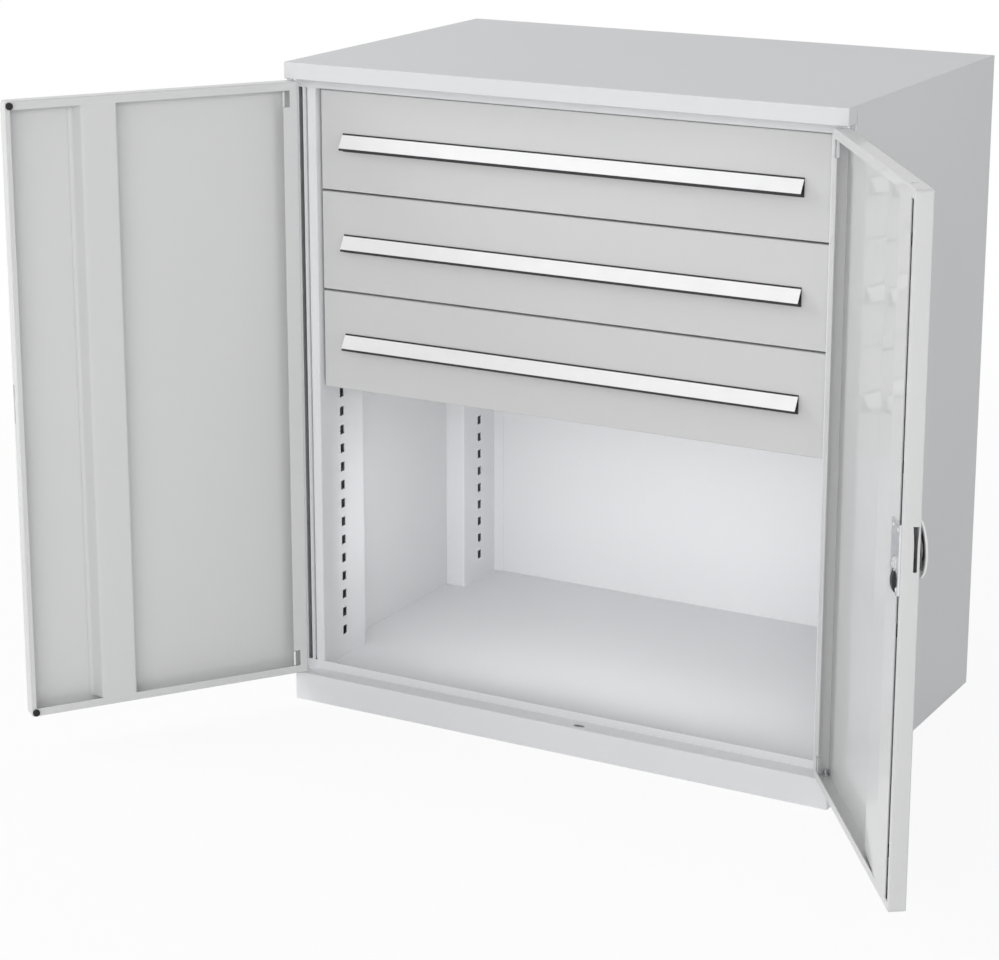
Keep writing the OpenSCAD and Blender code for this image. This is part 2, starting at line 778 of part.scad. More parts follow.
module drawer_tray(i) {
    low = drawer_z(i) + tray_lift;
    back = tray_front_y + tray_d;
    color(DRAWER_PAINT) difference() {
        block([-tray_half_w, tray_front_y, low], [tray_half_w, back, low + tray_h]);
        block([sheet - tray_half_w, tray_front_y + sheet, low + sheet],
            [tray_half_w - sheet, back - sheet, low + tray_h + 1]);
    }
}

module drawer_front(i) {
    low = drawer_z(i);
    top = low + drawer_h;
    color(DRAWER_PAINT) difference() {
        block([-front_half_w, front_face_y, low], [front_half_w, tray_front_y, top]);
        block([sheet - front_half_w, front_face_y + sheet, low + sheet],
            [front_half_w - sheet, tray_front_y - sheet, top - sheet]);
        block([front_return - front_half_w, front_face_y + sheet, low + front_return],
            [front_half_w - front_return, tray_front_y + 1, top - front_return]);
    }
}

// An outline in the drawer front's side view, as distance out and height, drawn along the width
module along_front(i, from_x, to_x, points) {
    translate([0, front_face_y, drawer_z(i) + drawer_h - handle_drop])
        rotate([90, 0, 90])
            translate([0, 0, from_x])
                linear_extrude(to_x - from_x)
                    polygon([for (p = points) [-p[0], p[1]]]);
}

// The sloped face runs from the fold at the top to the lip at the bottom
slope_low = [handle_out, -handle_slope_h];
slope_high = [handle_wall, 0];
slope_len = norm(slope_low - slope_high);
slope_way = (slope_low - slope_high) / slope_len;
slope_out = [-slope_way[1], slope_way[0]];

module drawer_handle(i) {
    inner_low = slope_low - [handle_wall * slope_out[0], 0] - [0, handle_wall * slope_out[1]];
    color(BLACK) along_front(i, -handle_half_w, handle_half_w, [
        [0, handle_wall], [handle_wall, handle_wall], slope_high, slope_low,
        slope_low - [0, handle_lip], [inner_low[0], -handle_slope_h - handle_lip], inner_low,
        [handle_wall, slope_high[1] - handle_wall * 2.4],
        [handle_wall, -handle_slope_h - handle_tail], [0, -handle_slope_h - handle_tail]]);
}

module drawer_label(i) {
    start = slope_high + label_margin * slope_way;
    end = slope_low - label_margin * slope_way;
    color("white") along_front(i, -handle_half_w, handle_half_w,
        [start, end, end + label_t * slope_out, start + label_t * slope_out]);
}

side_panel(-1);  // left_side_panel
side_panel(1);  // right_side_panel
back_panel();
top_cover();
top_front_rail();
floor_panel();
plinth_front();
plinth_rear();
base_rails();
front_upright(-1);  // left_front_upright
rear_upright(-1);  // left_rear_upright
front_upright(1);  // right_front_upright
rear_upright(1);  // right_rear_upright
hinge_pins(-1);  // left_hinge_pins
hinge_pins(1);  // right_hinge_pins
left_door_shell();
left_door_stiffener();
left_door_bumpers();
hinge_bushes(-1);  // left_hinge_bushes
right_door_shell();
right_door_stiffener();
hinge_bushes(1);  // right_hinge_bushes
lock_case();
lock_case_screws();
lock_grip();
rod_guides();
handle_rose();
turn_handle();
handle_spindle();
hook_plate();
rod_cam();
upper_rod();
lower_rod();
lock_plug();
for (i = [0 : 2]) {
    name = str("drawer_", i + 1, "_");
    drawer_outer_rails(i);
    drawer_middle_rails(i);
    drawer_inner_rails(i);
    drawer_tray(i);
    drawer_front(i);
    drawer_handle(i);
    drawer_label(i);
}
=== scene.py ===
import json
from functools import partial
from math import pi, radians

import bmesh
import bpy
from mathutils import Matrix, Vector


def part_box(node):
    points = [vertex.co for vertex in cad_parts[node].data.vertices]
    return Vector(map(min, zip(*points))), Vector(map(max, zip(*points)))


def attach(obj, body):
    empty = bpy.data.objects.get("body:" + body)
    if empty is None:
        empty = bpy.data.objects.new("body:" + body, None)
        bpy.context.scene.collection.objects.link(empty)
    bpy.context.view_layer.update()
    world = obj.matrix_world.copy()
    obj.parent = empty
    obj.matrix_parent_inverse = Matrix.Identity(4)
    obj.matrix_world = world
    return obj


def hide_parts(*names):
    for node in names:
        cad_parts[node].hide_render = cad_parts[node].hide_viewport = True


bl_info = {
    "name": "Storage cabinet",
    "version": (1, 0, 0),
    "blender": (4, 5, 0),
    "location": "View3D > Sidebar > Cabinet",
    "description": "Dresses a packed steel cabinet with folded sheet, paint and fittings",
    "category": "Object",
}

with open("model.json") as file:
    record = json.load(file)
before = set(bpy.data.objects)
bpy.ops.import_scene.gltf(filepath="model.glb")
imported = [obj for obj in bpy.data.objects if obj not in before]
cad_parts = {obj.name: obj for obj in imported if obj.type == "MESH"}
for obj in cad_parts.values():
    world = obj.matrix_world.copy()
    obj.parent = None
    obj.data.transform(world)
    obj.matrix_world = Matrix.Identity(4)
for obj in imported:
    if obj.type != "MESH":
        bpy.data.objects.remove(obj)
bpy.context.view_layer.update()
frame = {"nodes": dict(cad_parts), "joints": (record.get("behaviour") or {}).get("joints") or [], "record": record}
JOINTS = {joint["name"]: joint for joint in frame["joints"]}
BODY_OF = {node: body for body, nodes in frame["record"]["behaviour"]["bodies"].items() for node in nodes}
SLOT_OF = {part["node"]: part["material_slot"] for part in frame["record"]["subparts"]}
SIDES = {"left": -1, "right": 1}
DRAWERS = ("drawer_1", "drawer_2", "drawer_3")
LIGHTS = ("left", "right", "front", "fill", "back")
MM = 0.001
# How far a punch reaches past a sheet on each side.
PUNCH = 4 * MM
# How deep a cut goes that leaves the sheet behind it whole.
SHEET_CUT = 3 * MM
# Room left beside a fold or a web.
CLEAR = 2 * MM
# Points nearer than this to a plane lie in it.
NEAR = 0.1 * MM
# Points nearer than this to each other are one point.
MERGE = 0.01 * MM
# A face looks along an axis when its normal has more than this share of it.
MOSTLY = 0.5
# Edges sharper than this are broken.
SHARP = radians(35)
# Faces that meet at less than this are one face.
FLAT = radians(0.5)
# Noise keeps mostly between these two values.
NOISE_LOW, NOISE_HIGH = 0.3, 0.7
WHITE = (1.0, 1.0, 1.0, 1.0)
OUTWARD = Vector((0, -1, 0))
INWARD = Vector((0, 1, 0))
# Sections of domed shapes, in shares of their radius and height.
BUMPER_DOME = ((0.0, 1.0), (0.55, 0.98), (0.85, 0.82), (1.0, 0.5), (1.0, 0.0), (0.0, 0.0))
SCREW_DOME = ((0.0, 0.0), (1.0, 0.0), (1.0, 0.25), (0.85, 0.65), (0.5, 0.93), (0.0, 1.0))
HANDLE_DOME = ((0.86, 0.765), (0.7, 0.84), (0.5, 0.918), (0.25, 0.98), (0.0, 1.0))


def number_prop(name, description, default, **kind):
    return bpy.props.FloatProperty(name=name, description=description, default=default, **kind)


def vector_prop(name, description, default, **kind):
    return bpy.props.FloatVectorProperty(name=name, description=description, default=default, **kind)


length_prop = partial(number_prop, unit="LENGTH")
share_prop = partial(number_prop, subtype="FACTOR")
angle_prop = partial(number_prop, subtype="ANGLE")
power_prop = partial(number_prop, subtype="POWER")
place_prop = partial(vector_prop, subtype="TRANSLATION")
size_prop = partial(vector_prop, size=2, unit="LENGTH")
colour_prop = partial(vector_prop, subtype="COLOR")


class CabinetSheet(bpy.types.PropertyGroup):
    """Sizes of the folded sheet and of what is punched in it."""

    thickness: length_prop("Thickness", "Thickness of the steel sheet", 1.5 * MM)
    fold: length_prop("Fold radius", "Outer radius of a fold", 2.4 * MM)
    cover_fold: share_prop("Cover fold", "The top cover's share of the fold radius", 0.6)
    front_fold: share_prop("Front fold", "A drawer front's share of the fold radius", 0.85)
    upright_fold: length_prop("Upright fold", "Radius of the folds in an upright", 2 * MM)
    soft_fold: length_prop("Stiffener fold", "Radius of the folds in a stiffener", 3.5 * MM)
    edge: length_prop("Broken edge", "Bevel of the sharp edges of solid parts", 0.35 * MM)
    grip_edge: bpy.props.IntProperty(
        name="Grip edge", description="How many broken edges wide the lock grip's bevel is", default=4)
    cover_flange: length_prop("Cover flange", "Height of the top cover's side flange", 4 * MM)
    hem: length_prop("Hem", "Front fold of a side panel", 7 * MM)
    stile: length_prop("Stile", "Width of an upright's front face", 24 * MM)
    bead_place: length_prop("Bead place", "From an upright's web to the bead in its front face", 14.5 * MM)
    bead_width: length_prop("Bead width", "Width of the bead", 4.5 * MM)
    bead_depth: length_prop("Bead depth", "Depth of the bead", 7 * MM)
    stile_return: length_prop("Stile return", "Fold behind an upright's front face", 15 * MM)
    stile_foot: length_prop("Stile foot", "Depth cut away from an upright's foot", 20 * MM)
    back_return: length_prop("Back return", "Fold of a rear upright at the back", 18 * MM)
    front_return: length_prop("Front return", "Folds behind a drawer front", 25 * MM)
    slot_width: length_prop("Slot width", "Width of a shelf slot", 12 * MM)
    slot_height: length_prop("Slot height", "Height of a shelf slot", 15 * MM)
    slot_pitch: length_prop("Slot pitch", "Pitch of the shelf slots", 31 * MM)
    slot_first: length_prop("First slot", "Height of the first slot above the floor", 37 * MM)


class CabinetDoor(bpy.types.PropertyGroup):
    """Sizes of the door pans, their stiffeners and their hinge bars."""

    free_return: length_prop("Free return", "Inner fold at the free edge", 8 * MM)
    end_return: length_prop("End return", "Inner folds at the top and bottom", 13 * MM)
    hinge_return: length_prop("Hinge return", "Inner fold at the hinge edge", 25 * MM)
    bead: length_prop("Bead", "Radius of the inner fold at the free edge", 7 * MM)
    free_corner: length_prop("Free corner", "Radius of the corners at the free edge", 6 * MM)
    hinge_corner: length_prop("Hinge corner", "Radius of the corners at the hinges", 1 * MM)
    notch_width: length_prop("Notch width", "Width of a notch at a hinge", 11 * MM)
    notch_height: length_prop("Notch height", "Height of a notch at a hinge", 26 * MM)
    bar: length_prop("Hinge bar", "Width of the bar seen in a notch", 3.4 * MM)
    bar_set: length_prop("Bar set", "How far a hinge bar lies under the inner fold", 0.4 * MM)
    bar_depth: length_prop("Bar depth", "Depth of a hinge bar's back under the inner fold", 4.5 * MM)
    bar_edge: length_prop("Bar edge", "Radius of a hinge bar's edges", 0.5 * MM)
    slot_low: length_prop("Slot bottom", "Bottom of the hook's slot", 518 * MM)
    slot_high: length_prop("Slot top", "Top of the hook's slot", 579 * MM)
    slot_flare: length_prop("Slot flare", "Height where the hook's slot widens", 556 * MM)
    slot_spread: length_prop("Slot spread", "How far the slot widens on each side", 1.5 * MM)
    slot_near: length_prop("Slot near side", "Near side of the slot off the skin", 4 * MM)
    slot_far: length_prop("Slot far side", "Far side of the slot off the skin", 9 * MM)
    left_slope_start: length_prop("Left slope start", "Start of the left stiffener", 107 * MM)
    left_slope: length_prop("Left slope", "Width of the left stiffener's slope", 9.6 * MM)
    left_toe: length_prop("Left toe", "Foot of the left stiffener before its slope", 6 * MM)
    right_crown_start: length_prop("Right crown start", "Start of the right stiffener", 21 * MM)
    crown: length_prop("Crown", "Width of a stiffener's crown", 56 * MM)
    stiffener_end: length_prop("Stiffener wall", "Place of a stiffener's inner wall", 172 * MM)
    right_drop: length_prop("Right drop", "Fall of the right stiffener's slope", 8 * MM)
    foot: length_prop("Foot", "Foot of a stiffener on the skin", 16 * MM)


class CabinetLock(bpy.types.PropertyGroup):
    """Sizes of the lock and its turn handle."""

    hub: length_prop("Hub", "Radius of the turn handle's hub", 17 * MM)
    hollow: length_prop("Hollow", "Radius of the finger hollows", 33 * MM)
    hollow_floor: length_prop("Hollow floor", "Floor of the hollows above the hub's back", 6 * MM)
    grip: length_prop("Grip", "Width of the grip between the hollows", 15 * MM)
    rim_back: length_prop("Rim back", "Broken edge at the back of the handle's rim", 1.2 * MM)
    rim_front: length_prop("Rim front", "Fall of the rim's edge before the dome", 0.6 * MM)
    rim_rise: length_prop("Rim rise", "Rise of the dome's edge over the rim", 0.3 * MM)
    handle_edge: length_prop("Handle edge", "Bevel of the handle's edges", 0.6 * MM)
    plug_play: length_prop("Plug play", "Play of the lock plug in its bore", 0.05 * MM)
    plug_edge: length_prop("Plug edge", "Broken edge of the lock plug", 0.6 * MM)
    key_length: share_prop("Key slot length", "Half length of the key slot in plug radii", 0.7)
    key_depth: length_prop("Key slot depth", "Depth of the key slot", 2 * MM)
    key_half: length_prop("Key slot half", "Half width of the key slot", 0.75 * MM)
    key_edge: length_prop("Key slot edge", "Bevel of the key slot", 0.15 * MM)
    rod_depth: length_prop("Rod depth", "Depth of the rods behind the door's skin", 14.45 * MM)
    rod_hole: length_prop("Rod hole", "Radius of a rod's hole", 4.6 * MM)
    strike: length_prop("Strike", "Half length of a rod's strike slot", 9.1 * MM)
    strike_end: share_prop("Strike end", "Radius of a strike slot's ends in hole radii", 0.98)
    case_corner: length_prop("Case corner", "Radius of the lock case's corners", 3.5 * MM)
    case_edge: length_prop("Case edge", "Radius of the lock case's front edges", 0.9 * MM)
    screw_inset: length_prop("Screw inset", "Inset of the screws from the case's edges", 8 * MM)
    cross_long: share_prop("Cross length", "Half length of a screw's cross in head radii", 0.6)
    cross_thin: share_prop("Cross width", "Half width of a screw's cross in head radii", 0.14)
    cross_deep: share_prop("Cross depth", "Depth of a screw's cross in head heights", 0.4)
    nut_drop: length_prop("Nut drop", "Fall of the case's nut below the spindle", 13 * MM)
    nut: length_prop("Nut", "Radius of the case's nut over its corners", 8 * MM)
    nut_height: length_prop("Nut height", "Height of the nut", 3.6 * MM)
    nut_edge: length_prop("Nut edge", "Radius of the nut's edges", 0.35 * MM)
    bolt: share_prop("Bolt", "Radius of the nut's bolt in nut radii", 0.45)
    bolt_height: length_prop("Bolt height", "Height of the bolt's end", 5.2 * MM)
    washer_foot: number_prop("Washer foot", "Radius of the washer's foot in nut radii", 1.3)
    washer_top: number_prop("Washer top", "Radius of the washer's top in nut radii", 1.25)
    washer_height: length_prop("Washer height", "Height of the washer", 0.9 * MM)


class CabinetFinish(bpy.types.PropertyGroup):
    """Colours of the finishes."""

    paint: colour_prop("Paint", "Powder coat of the carcass", (0.725, 0.733, 0.745))
    # A lighter copy of the carcass coat: painted light on the sheets inside and on the plinth, which get less lamp
    # light.
    inner_paint: colour_prop("Inner paint", "Powder coat inside and on the plinth", (0.785, 0.792, 0.806))
    drawer_paint: colour_prop("Drawer paint", "Powder coat of the drawers", (0.65, 0.65, 0.65))
    door_paint: colour_prop("Door paint", "Powder coat of the doors", (0.665, 0.667, 0.67))
    zinc: colour_prop("Zinc", "Zinc plated steel", (0.8, 0.81, 0.82))
    chrome: colour_prop("Chrome", "Polished chrome", (0.72, 0.725, 0.73))
    # Darkened chrome on the rose: painted shade for the gap under the turn handle.
    dark: colour_prop("Shaded chrome", "Metal under the turn handle", (0.2, 0.2, 0.21))
    strip: colour_prop("Label strip", "Blank strip in a drawer handle", (0.95, 0.95, 0.95))
    black: colour_prop("Black", "Moulded black plastic", (0.022, 0.022, 0.024))
    rubber: colour_prop("Rubber", "Soft black rubber", (0.018, 0.018, 0.018))


class CabinetStudio(bpy.types.PropertyGroup):
    """The camera, the floor and the lights."""

    lens: number_prop("Lens", "Focal length in millimetres", 98.93)
    sensor: number_prop("Sensor", "Width of the sensor in millimetres", 36.0)
    shift: number_prop("Shift", "Vertical lens shift", -0.11)
    place: place_prop("Camera", "Place of the camera", (1.8663, -3.8052, 1.6383))
    pitch: angle_prop("Pitch", "How far the camera looks down", radians(14.525))
    yaw: angle_prop("Yaw", "How far the camera is turned", radians(29.112))
    reach: length_prop("Reach", "How far the camera sees", 200.0)
    floor_half: length_prop("Floor half", "Half the width of the floor", 40.0)
    floor_drop: length_prop("Floor drop", "How far the floor lies under the base", 0.5 * MM)
    floor_tone: share_prop("Floor tone", "Grey of the floor", 0.9)
    near_white: share_prop("Near white", "Share of plain white in the floor near the cabinet", 0.9)
    fade_start: length_prop("Fade start", "Where the floor starts to turn white", 1.0)
    fade_end: length_prop("Fade end", "Where the floor is all white", 3.4)
    ambient: share_prop("Ambient", "Strength of the even light", 0.42)
    target: place_prop("Target", "Point that the lights look at", (0.0, -0.2, 0.5))
    left: power_prop("Left", "Left soft light", 96.0)
    left_place: place_prop("Left place", "Place of the left light", (-4.2, -1.7, 2.9))
    left_size: size_prop("Left size", "Size of the left light", (2.4, 2.4))
    right: power_prop("Right", "Right soft light", 24.0)
    right_place: place_prop("Right place", "Place of the right light", (4.2, -2.0, 2.4))
    right_size: size_prop("Right size", "Size of the right light", (1.8, 1.8))
    front: power_prop("Front", "Front soft light", 28.0)
    front_place: place_prop("Front place", "Place of the front light", (-0.3, -4.6, 1.5))
    front_size: size_prop("Front size", "Size of the front light", (2.2, 1.6))
    fill: power_prop("Fill", "Light near the camera", 44.0)
    fill_place: place_prop("Fill place", "Place of the fill light", (1.7, -4.4, 2.2))
    fill_size: size_prop("Fill size", "Size of the fill light", (2.2, 1.6))
    back: power_prop("Back", "Back soft light", 30.0)
    back_place: place_prop("Back place", "Place of the back light", (-1.2, 4.2, 2.2))
    back_size: size_prop("Back size", "Size of the back light", (2.2, 1.6))
    inner: power_prop("Inner", "Soft light in the compartment's opening", 1.0)
    inner_wide: share_prop("Inner width", "Width of the inner light in drawer widths", 0.8)
    inner_tall: share_prop("Inner height", "Height of the inner light in opening heights", 0.5)


class Flow:
    """A shader socket in a Python expression: arithmetic on it adds Math nodes."""

    def __init__(self, shader, socket):
        self.shader = shader
        self.socket = socket

    def math(self, operation, first, second):
        return self.shader.node("ShaderNodeMath", {"operation": operation}, {0: first, 1: second})

    def __add__(self, other):
        return self.math("ADD", self, other)

    def __sub__(self, other):
        return self.math("SUBTRACT", self, other)

    def __rsub__(self, other):
        return self.math("SUBTRACT", other, self)

    def __mul__(self, other):
        return self.math("MULTIPLY", self, other)

    def maximum(self, other):
        return self.math("MAXIMUM", self, other)

    __radd__ = __add__
    __rmul__ = __mul__


class Shader:
    """The node tree of a material or a world."""

    # The colour sockets of a Mix node.
    MIX_FIRST, MIX_SECOND, MIX_RESULT = 6, 7, 2

    def __init__(self, owner):
        owner.use_nodes = True
        self.tree = owner.node_tree
        self.tree.nodes.clear()

    def node(self, kind, settings=None, inputs=None, out=0):
        """Adds a node, sets it, fills its sockets with values or links, and gives one output."""
        made = self.tree.nodes.new(kind)
        for name, value in (settings or {}).items():
            setattr(made, name, value)
        for key, value in (inputs or {}).items():
            if isinstance(value, Flow):
                self.tree.links.new(value.socket, made.inputs[key])
            else:
                made.inputs[key].default_value = value
        return Flow(self, made.outputs[out]) if made.outputs else None

    def place(self, stretch=(1.0, 1.0, 1.0)):
        """Object coordinates, stretched."""
        where = self.node("ShaderNodeTexCoord", out="Object")
        return self.node("ShaderNodeMapping", inputs={"Vector": where, "Scale": stretch})

    def noise(self, where, scale, detail=2.0):
        sockets = {"Vector": where, "Scale": scale, "Detail": detail}
        return self.node("ShaderNodeTexNoise", {"noise_dimensions": "3D"}, sockets)

    def remap(self, value, low, high, to_low, to_high):
        return self.node("ShaderNodeMapRange", inputs={
            "Value": value, "From Min": low, "From Max": high, "To Min": to_low, "To Max": to_high})

    def between(self, factor, first, second):
        """A colour between two colours."""
        sockets = {"Factor": factor, self.MIX_FIRST: first, self.MIX_SECOND: second}
        return self.node("ShaderNodeMix", {"data_type": "RGBA"}, sockets, self.MIX_RESULT)

    def bump(self, height, strength, distance):
        sockets = {"Height": height, "Strength": strength, "Distance": distance}
        return self.node("ShaderNodeBump", inputs=sockets)

    def surface(self, **inputs):
        names = {key.replace("_", " ").title().replace("Ior", "IOR"): value for key, value in inputs.items()}
        made = self.node("ShaderNodeBsdfPrincipled", inputs=names)
        self.node("ShaderNodeOutputMaterial", inputs={"Surface": made})


def tint(colour, level):
    """A colour made lighter or darker, with its alpha."""
    return tuple(min(1.0, channel * level) for channel in colour) + (1.0,)


def powder_coat(name, colour, rough, shine=0.3, coat=0.0):
    """Baked powder paint: a fine orange peel, a faint cloud and tiny specks under an even gloss."""
    peel_scale, cloud_scale, speck_scale, gloss_scale = 700.0, 2.6, 2400.0, 60.0
    darkest, lightest = 0.985, 1.012
    rough_play, coat_rough = 0.015, 0.05
    peel_strength, peel_height = 0.07, 0.3 * MM
    material = bpy.data.materials.new(name)
    shader = Shader(material)
    where = shader.place()
    peel = shader.noise(where, peel_scale)
    cloud = shader.noise(where, cloud_scale)
    speck = shader.noise(where, speck_scale, detail=1.0)
    gloss = shader.noise(where, gloss_scale)
    tone = shader.remap(cloud * 0.5 + speck * 0.5, NOISE_LOW, NOISE_HIGH, 0.0, 1.0)
    shader.surface(
        base_color=shader.between(tone, tint(colour, darkest), tint(colour, lightest)),
        roughness=shader.remap(gloss, NOISE_LOW, NOISE_HIGH, rough - rough_play, rough + rough_play),
        specular_ior_level=shine, coat_weight=coat, coat_roughness=coat_rough,
        normal=shader.bump(peel, peel_strength, peel_height))
    return material


def plated_metal(name, colour, rough, depth, stretch=(1.0, 1.0, 1.0)):
    """Bare or plated metal with a grain along one direction and a cloudy bloom."""
    grain_scale, cloud_scale, fine = 900.0, 45.0, 3.0
    darkest, lightest = 0.88, 1.05
    smoother, rougher = 0.03, 0.05
    grain_height = 0.2 * MM
    material = bpy.data.materials.new(name)
    shader = Shader(material)
    grain = shader.noise(shader.place(stretch), grain_scale, fine)
    cloud = shader.noise(shader.place(), cloud_scale, fine)
    shade = shader.remap(grain * 0.5 + cloud * 0.5, NOISE_LOW, NOISE_HIGH, 0.0, 1.0)
    shader.surface(
        base_color=shader.between(shade, tint(colour, darkest), tint(colour, lightest)),
        metallic=1.0,
        roughness=shader.remap(shade, 0.0, 1.0, rough - smoother, rough + rougher),
        normal=shader.bump(grain, depth, grain_height))
    return material


def smooth_plastic(name, colour, rough, grain_scale, depth):
    """Moulded plastic or rubber with a fine grain."""
    cloud_scale, rough_play, grain_height = 30.0, 0.04, 0.3 * MM
    darkest, lightest = 0.95, 1.04
    material = bpy.data.materials.new(name)
    shader = Shader(material)
    where = shader.place()
    grain = shader.noise(where, grain_scale)
    cloud = shader.noise(where, cloud_scale)
    shader.surface(
        base_color=shader.between(cloud, tint(colour, darkest), tint(colour, lightest)),
        roughness=shader.remap(cloud, NOISE_LOW, NOISE_HIGH, rough - rough_play, rough + rough_play),
        normal=shader.bump(grain, depth, grain_height))
    return material


FINISHES = {}
# Carcass sheets that get a lighter copy of the coat as painted light: those inside and the front plinth.
PAINTED_LIGHT_SHEETS = {"back_panel", "floor_panel", "plinth_front", "left_front_upright", "right_front_upright",
           "left_rear_upright", "right_rear_upright"}


def make_finishes(colours):
    """Makes one material for each finish."""
    along_y, along_z = (1.0, 0.08, 1.0), (1.0, 1.0, 0.06)
    FINISHES.update({
        "body_paint": powder_coat("light_grey_coat", colours.paint, rough=0.48),
        # Painted light: a lighter copy of the carcass coat for the sheets inside and the front plinth.
        "inner_paint": powder_coat("inner_grey_coat", colours.inner_paint, rough=0.48),
        "door_paint": powder_coat("door_grey_coat", colours.door_paint, rough=0.4, coat=0.4),
        "drawer_paint": powder_coat("drawer_grey_coat", colours.drawer_paint, rough=0.52),
        "zinc_steel": plated_metal("zinc_plate", colours.zinc, rough=0.2, depth=0.1, stretch=along_y),
        "pin_steel": plated_metal("bright_pin", colours.zinc, rough=0.16, depth=0.08, stretch=along_z),
        "handle_chrome": plated_metal("polished_chrome", colours.chrome, rough=0.07, depth=0.015),
        # Painted shade: chrome darkened for the rose in the gap under the turn handle.
        "painted_shade_chrome": plated_metal("shaded_chrome", colours.dark, rough=0.25, depth=0.03),
        "label_white": smooth_plastic(
            "white_strip", colours.strip, rough=0.4, grain_scale=600.0, depth=0.04),
        "black_plastic": smooth_plastic(
            "moulded_black", colours.black, rough=0.42, grain_scale=1800.0, depth=0.15),
        "rubber": smooth_plastic(
            "soft_rubber", colours.rubber, rough=0.75, grain_scale=900.0, depth=0.3),
    })


def finish_of(slot, nodes=()):
    """The material for a slot: some carcass sheets get a lighter coat as painted light, the rose a darker chrome
    as painted shade.
    """
    # Sheets inside and the plinth get the lighter coat as painted light.
    if slot == "body_paint" and PAINTED_LIGHT_SHEETS.intersection(nodes):
        slot = "inner_paint"
    # The rose under the turn handle gets darkened chrome as painted shade.
    if "handle_rose" in nodes:
        slot = "painted_shade_chrome"
    if not FINISHES:
        make_finishes(bpy.context.scene.cabinet_finish)
    return FINISHES[slot]


def span(node):
    """The lowest and highest corner of a CAD node."""
    low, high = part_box(node)
    return Vector(low), Vector(high)


def door_swing(hand):
    """Takes a closed door to where it stands at rest."""
    joint = JOINTS[hand + "_door_swing"]
    pivot = Matrix.Translation(Vector(joint["pos_m"]))
    turn = Matrix.Rotation(radians(-joint["range_deg"][0]), 4, Vector(joint["axis"]))
    return pivot @ turn @ pivot.inverted()


def spindle_point():
    """The turn handle's axis on the outer skin with the right door closed."""
    return door_swing("right").inverted() @ Vector(JOINTS["handle_turn"]["pos_m"])


def closed_span(node, hand):
    """The box of a door's node with the door closed, as on a right-hand door."""
    back = door_swing(hand).inverted()
    points = [back @ vertex.co for vertex in frame["nodes"][node].data.vertices]
    for point in points:
        point.x *= SIDES[hand]
    return (Vector([min(p[i] for p in points) for i in range(3)]),
            Vector([max(p[i] for p in points) for i in range(3)]))


def as_mesh(name, skin):
    """A mesh from a bmesh, which is then freed."""
    mesh = bpy.data.meshes.new(name)
    skin.to_mesh(mesh)
    skin.free()
    return mesh


def as_object(name, mesh):
    thing = bpy.data.objects.new(name, mesh)
    bpy.context.scene.collection.objects.link(thing)
    return thing


def join_into(whole, part):
    """Moves one bmesh into another."""
    mesh = as_mesh("joined", part)
    whole.from_mesh(mesh)
    bpy.data.meshes.remove(mesh)


def add_box(skin, low, high):
    low, high = Vector(low), Vector(high)
    middle = Matrix.LocRotScale((low + high) / 2, None, high - low)
    return bmesh.ops.create_cube(skin, size=1.0, matrix=middle)["verts"]


def box_skin(low, high):
    """The six faces of a box."""
    skin = bmesh.new()
    add_box(skin, low, high)
    return skin


def add_round(skin, start, along, radius, segments=32):
    """A closed cylinder from a point along a vector."""
    start, along = Vector(start), Vector(along)
    turn = Vector((0, 0, 1)).rotation_difference(along).to_matrix().to_4x4()
    place = Matrix.Translation(start + along / 2) @ turn
    bmesh.ops.create_cone(skin, cap_ends=True, cap_tris=False, segments=segments, radius1=radius,
                          radius2=radius, depth=along.length, matrix=place)


def add_turned(solid, section, place, axis, steps=48):
    """Spins a section of radius and height pairs about an axis through a place."""
    side = axis.orthogonal().normalized()
    part = bmesh.new()
    verts = [part.verts.new(place + side * r + axis * h) for r, h in section]
    edges = [part.edges.new(pair) for pair in zip(verts, verts[1:])]
    bmesh.ops.spin(part, geom=[*verts, *edges], cent=place, axis=axis, angle=2 * pi, steps=steps,
                   use_merge=True)
    bmesh.ops.remove_doubles(part, verts=part.verts[:], dist=MERGE)
    bmesh.ops.recalc_face_normals(part, faces=part.faces[:])
    join_into(solid, part)


def drop_faces(skin, choose):
    faces = [face for face in skin.faces if choose(face.calc_center_median(), face.normal)]
    bmesh.ops.delete(skin, geom=faces, context="FACES")


def slice_at(skin, point, normal, choose=None):
    """Cuts faces along a plane and keeps both sides."""
    faces = [face for face in skin.faces if not choose or choose(face.calc_center_median(), face.normal)]
    edges = {edge for face in faces for edge in face.edges}
    verts = {vert for face in faces for vert in face.verts}
    bmesh.ops.bisect_plane(skin, geom=[*verts, *edges, *faces], plane_co=point, plane_no=normal)


def inset_back(skin, width):
    """Insets the face at the back of a box and gives it back."""
    back = max(skin.faces, key=lambda face: face.normal.y)
    bmesh.ops.inset_region(skin, faces=[back], thickness=width)
    return back


def round_edges(skin, edges, radius, segments=3):
    bmesh.ops.bevel(skin, geom=list(edges), offset=radius, offset_type="OFFSET", segments=segments,
                    profile=0.5, affect="EDGES", material=-1, clamp_overlap=True)


def middle_of(edge):
    return (edge.verts[0].co + edge.verts[1].co) / 2


def run_of(edge):
    """The way from one end of an edge to the other."""
    return edge.verts[1].co - edge.verts[0].co


def folds(skin, least=40):
    """The edges where two faces meet at an angle of more than so many degrees."""
    return [e for e in skin.edges if len(e.link_faces) == 2 and e.calc_face_angle(0.0) > radians(least)]


def weigh_folds(skin, radius_of, largest):
    """Marks each fold with its share of the largest fold radius."""
    layer = skin.edges.layers.float.new("bevel_weight_edge")
    for edge in folds(skin):
        edge[layer] = radius_of(middle_of(edge), run_of(edge)) / largest


def bend_folds(work, radius):
    """Rounds the marked folds."""
    bend = work.modifiers.new("folds", "BEVEL")
    bend.limit_method = "WEIGHT"
    bend.width = radius
    bend.segments = 5
    bend.use_clamp_overlap = False


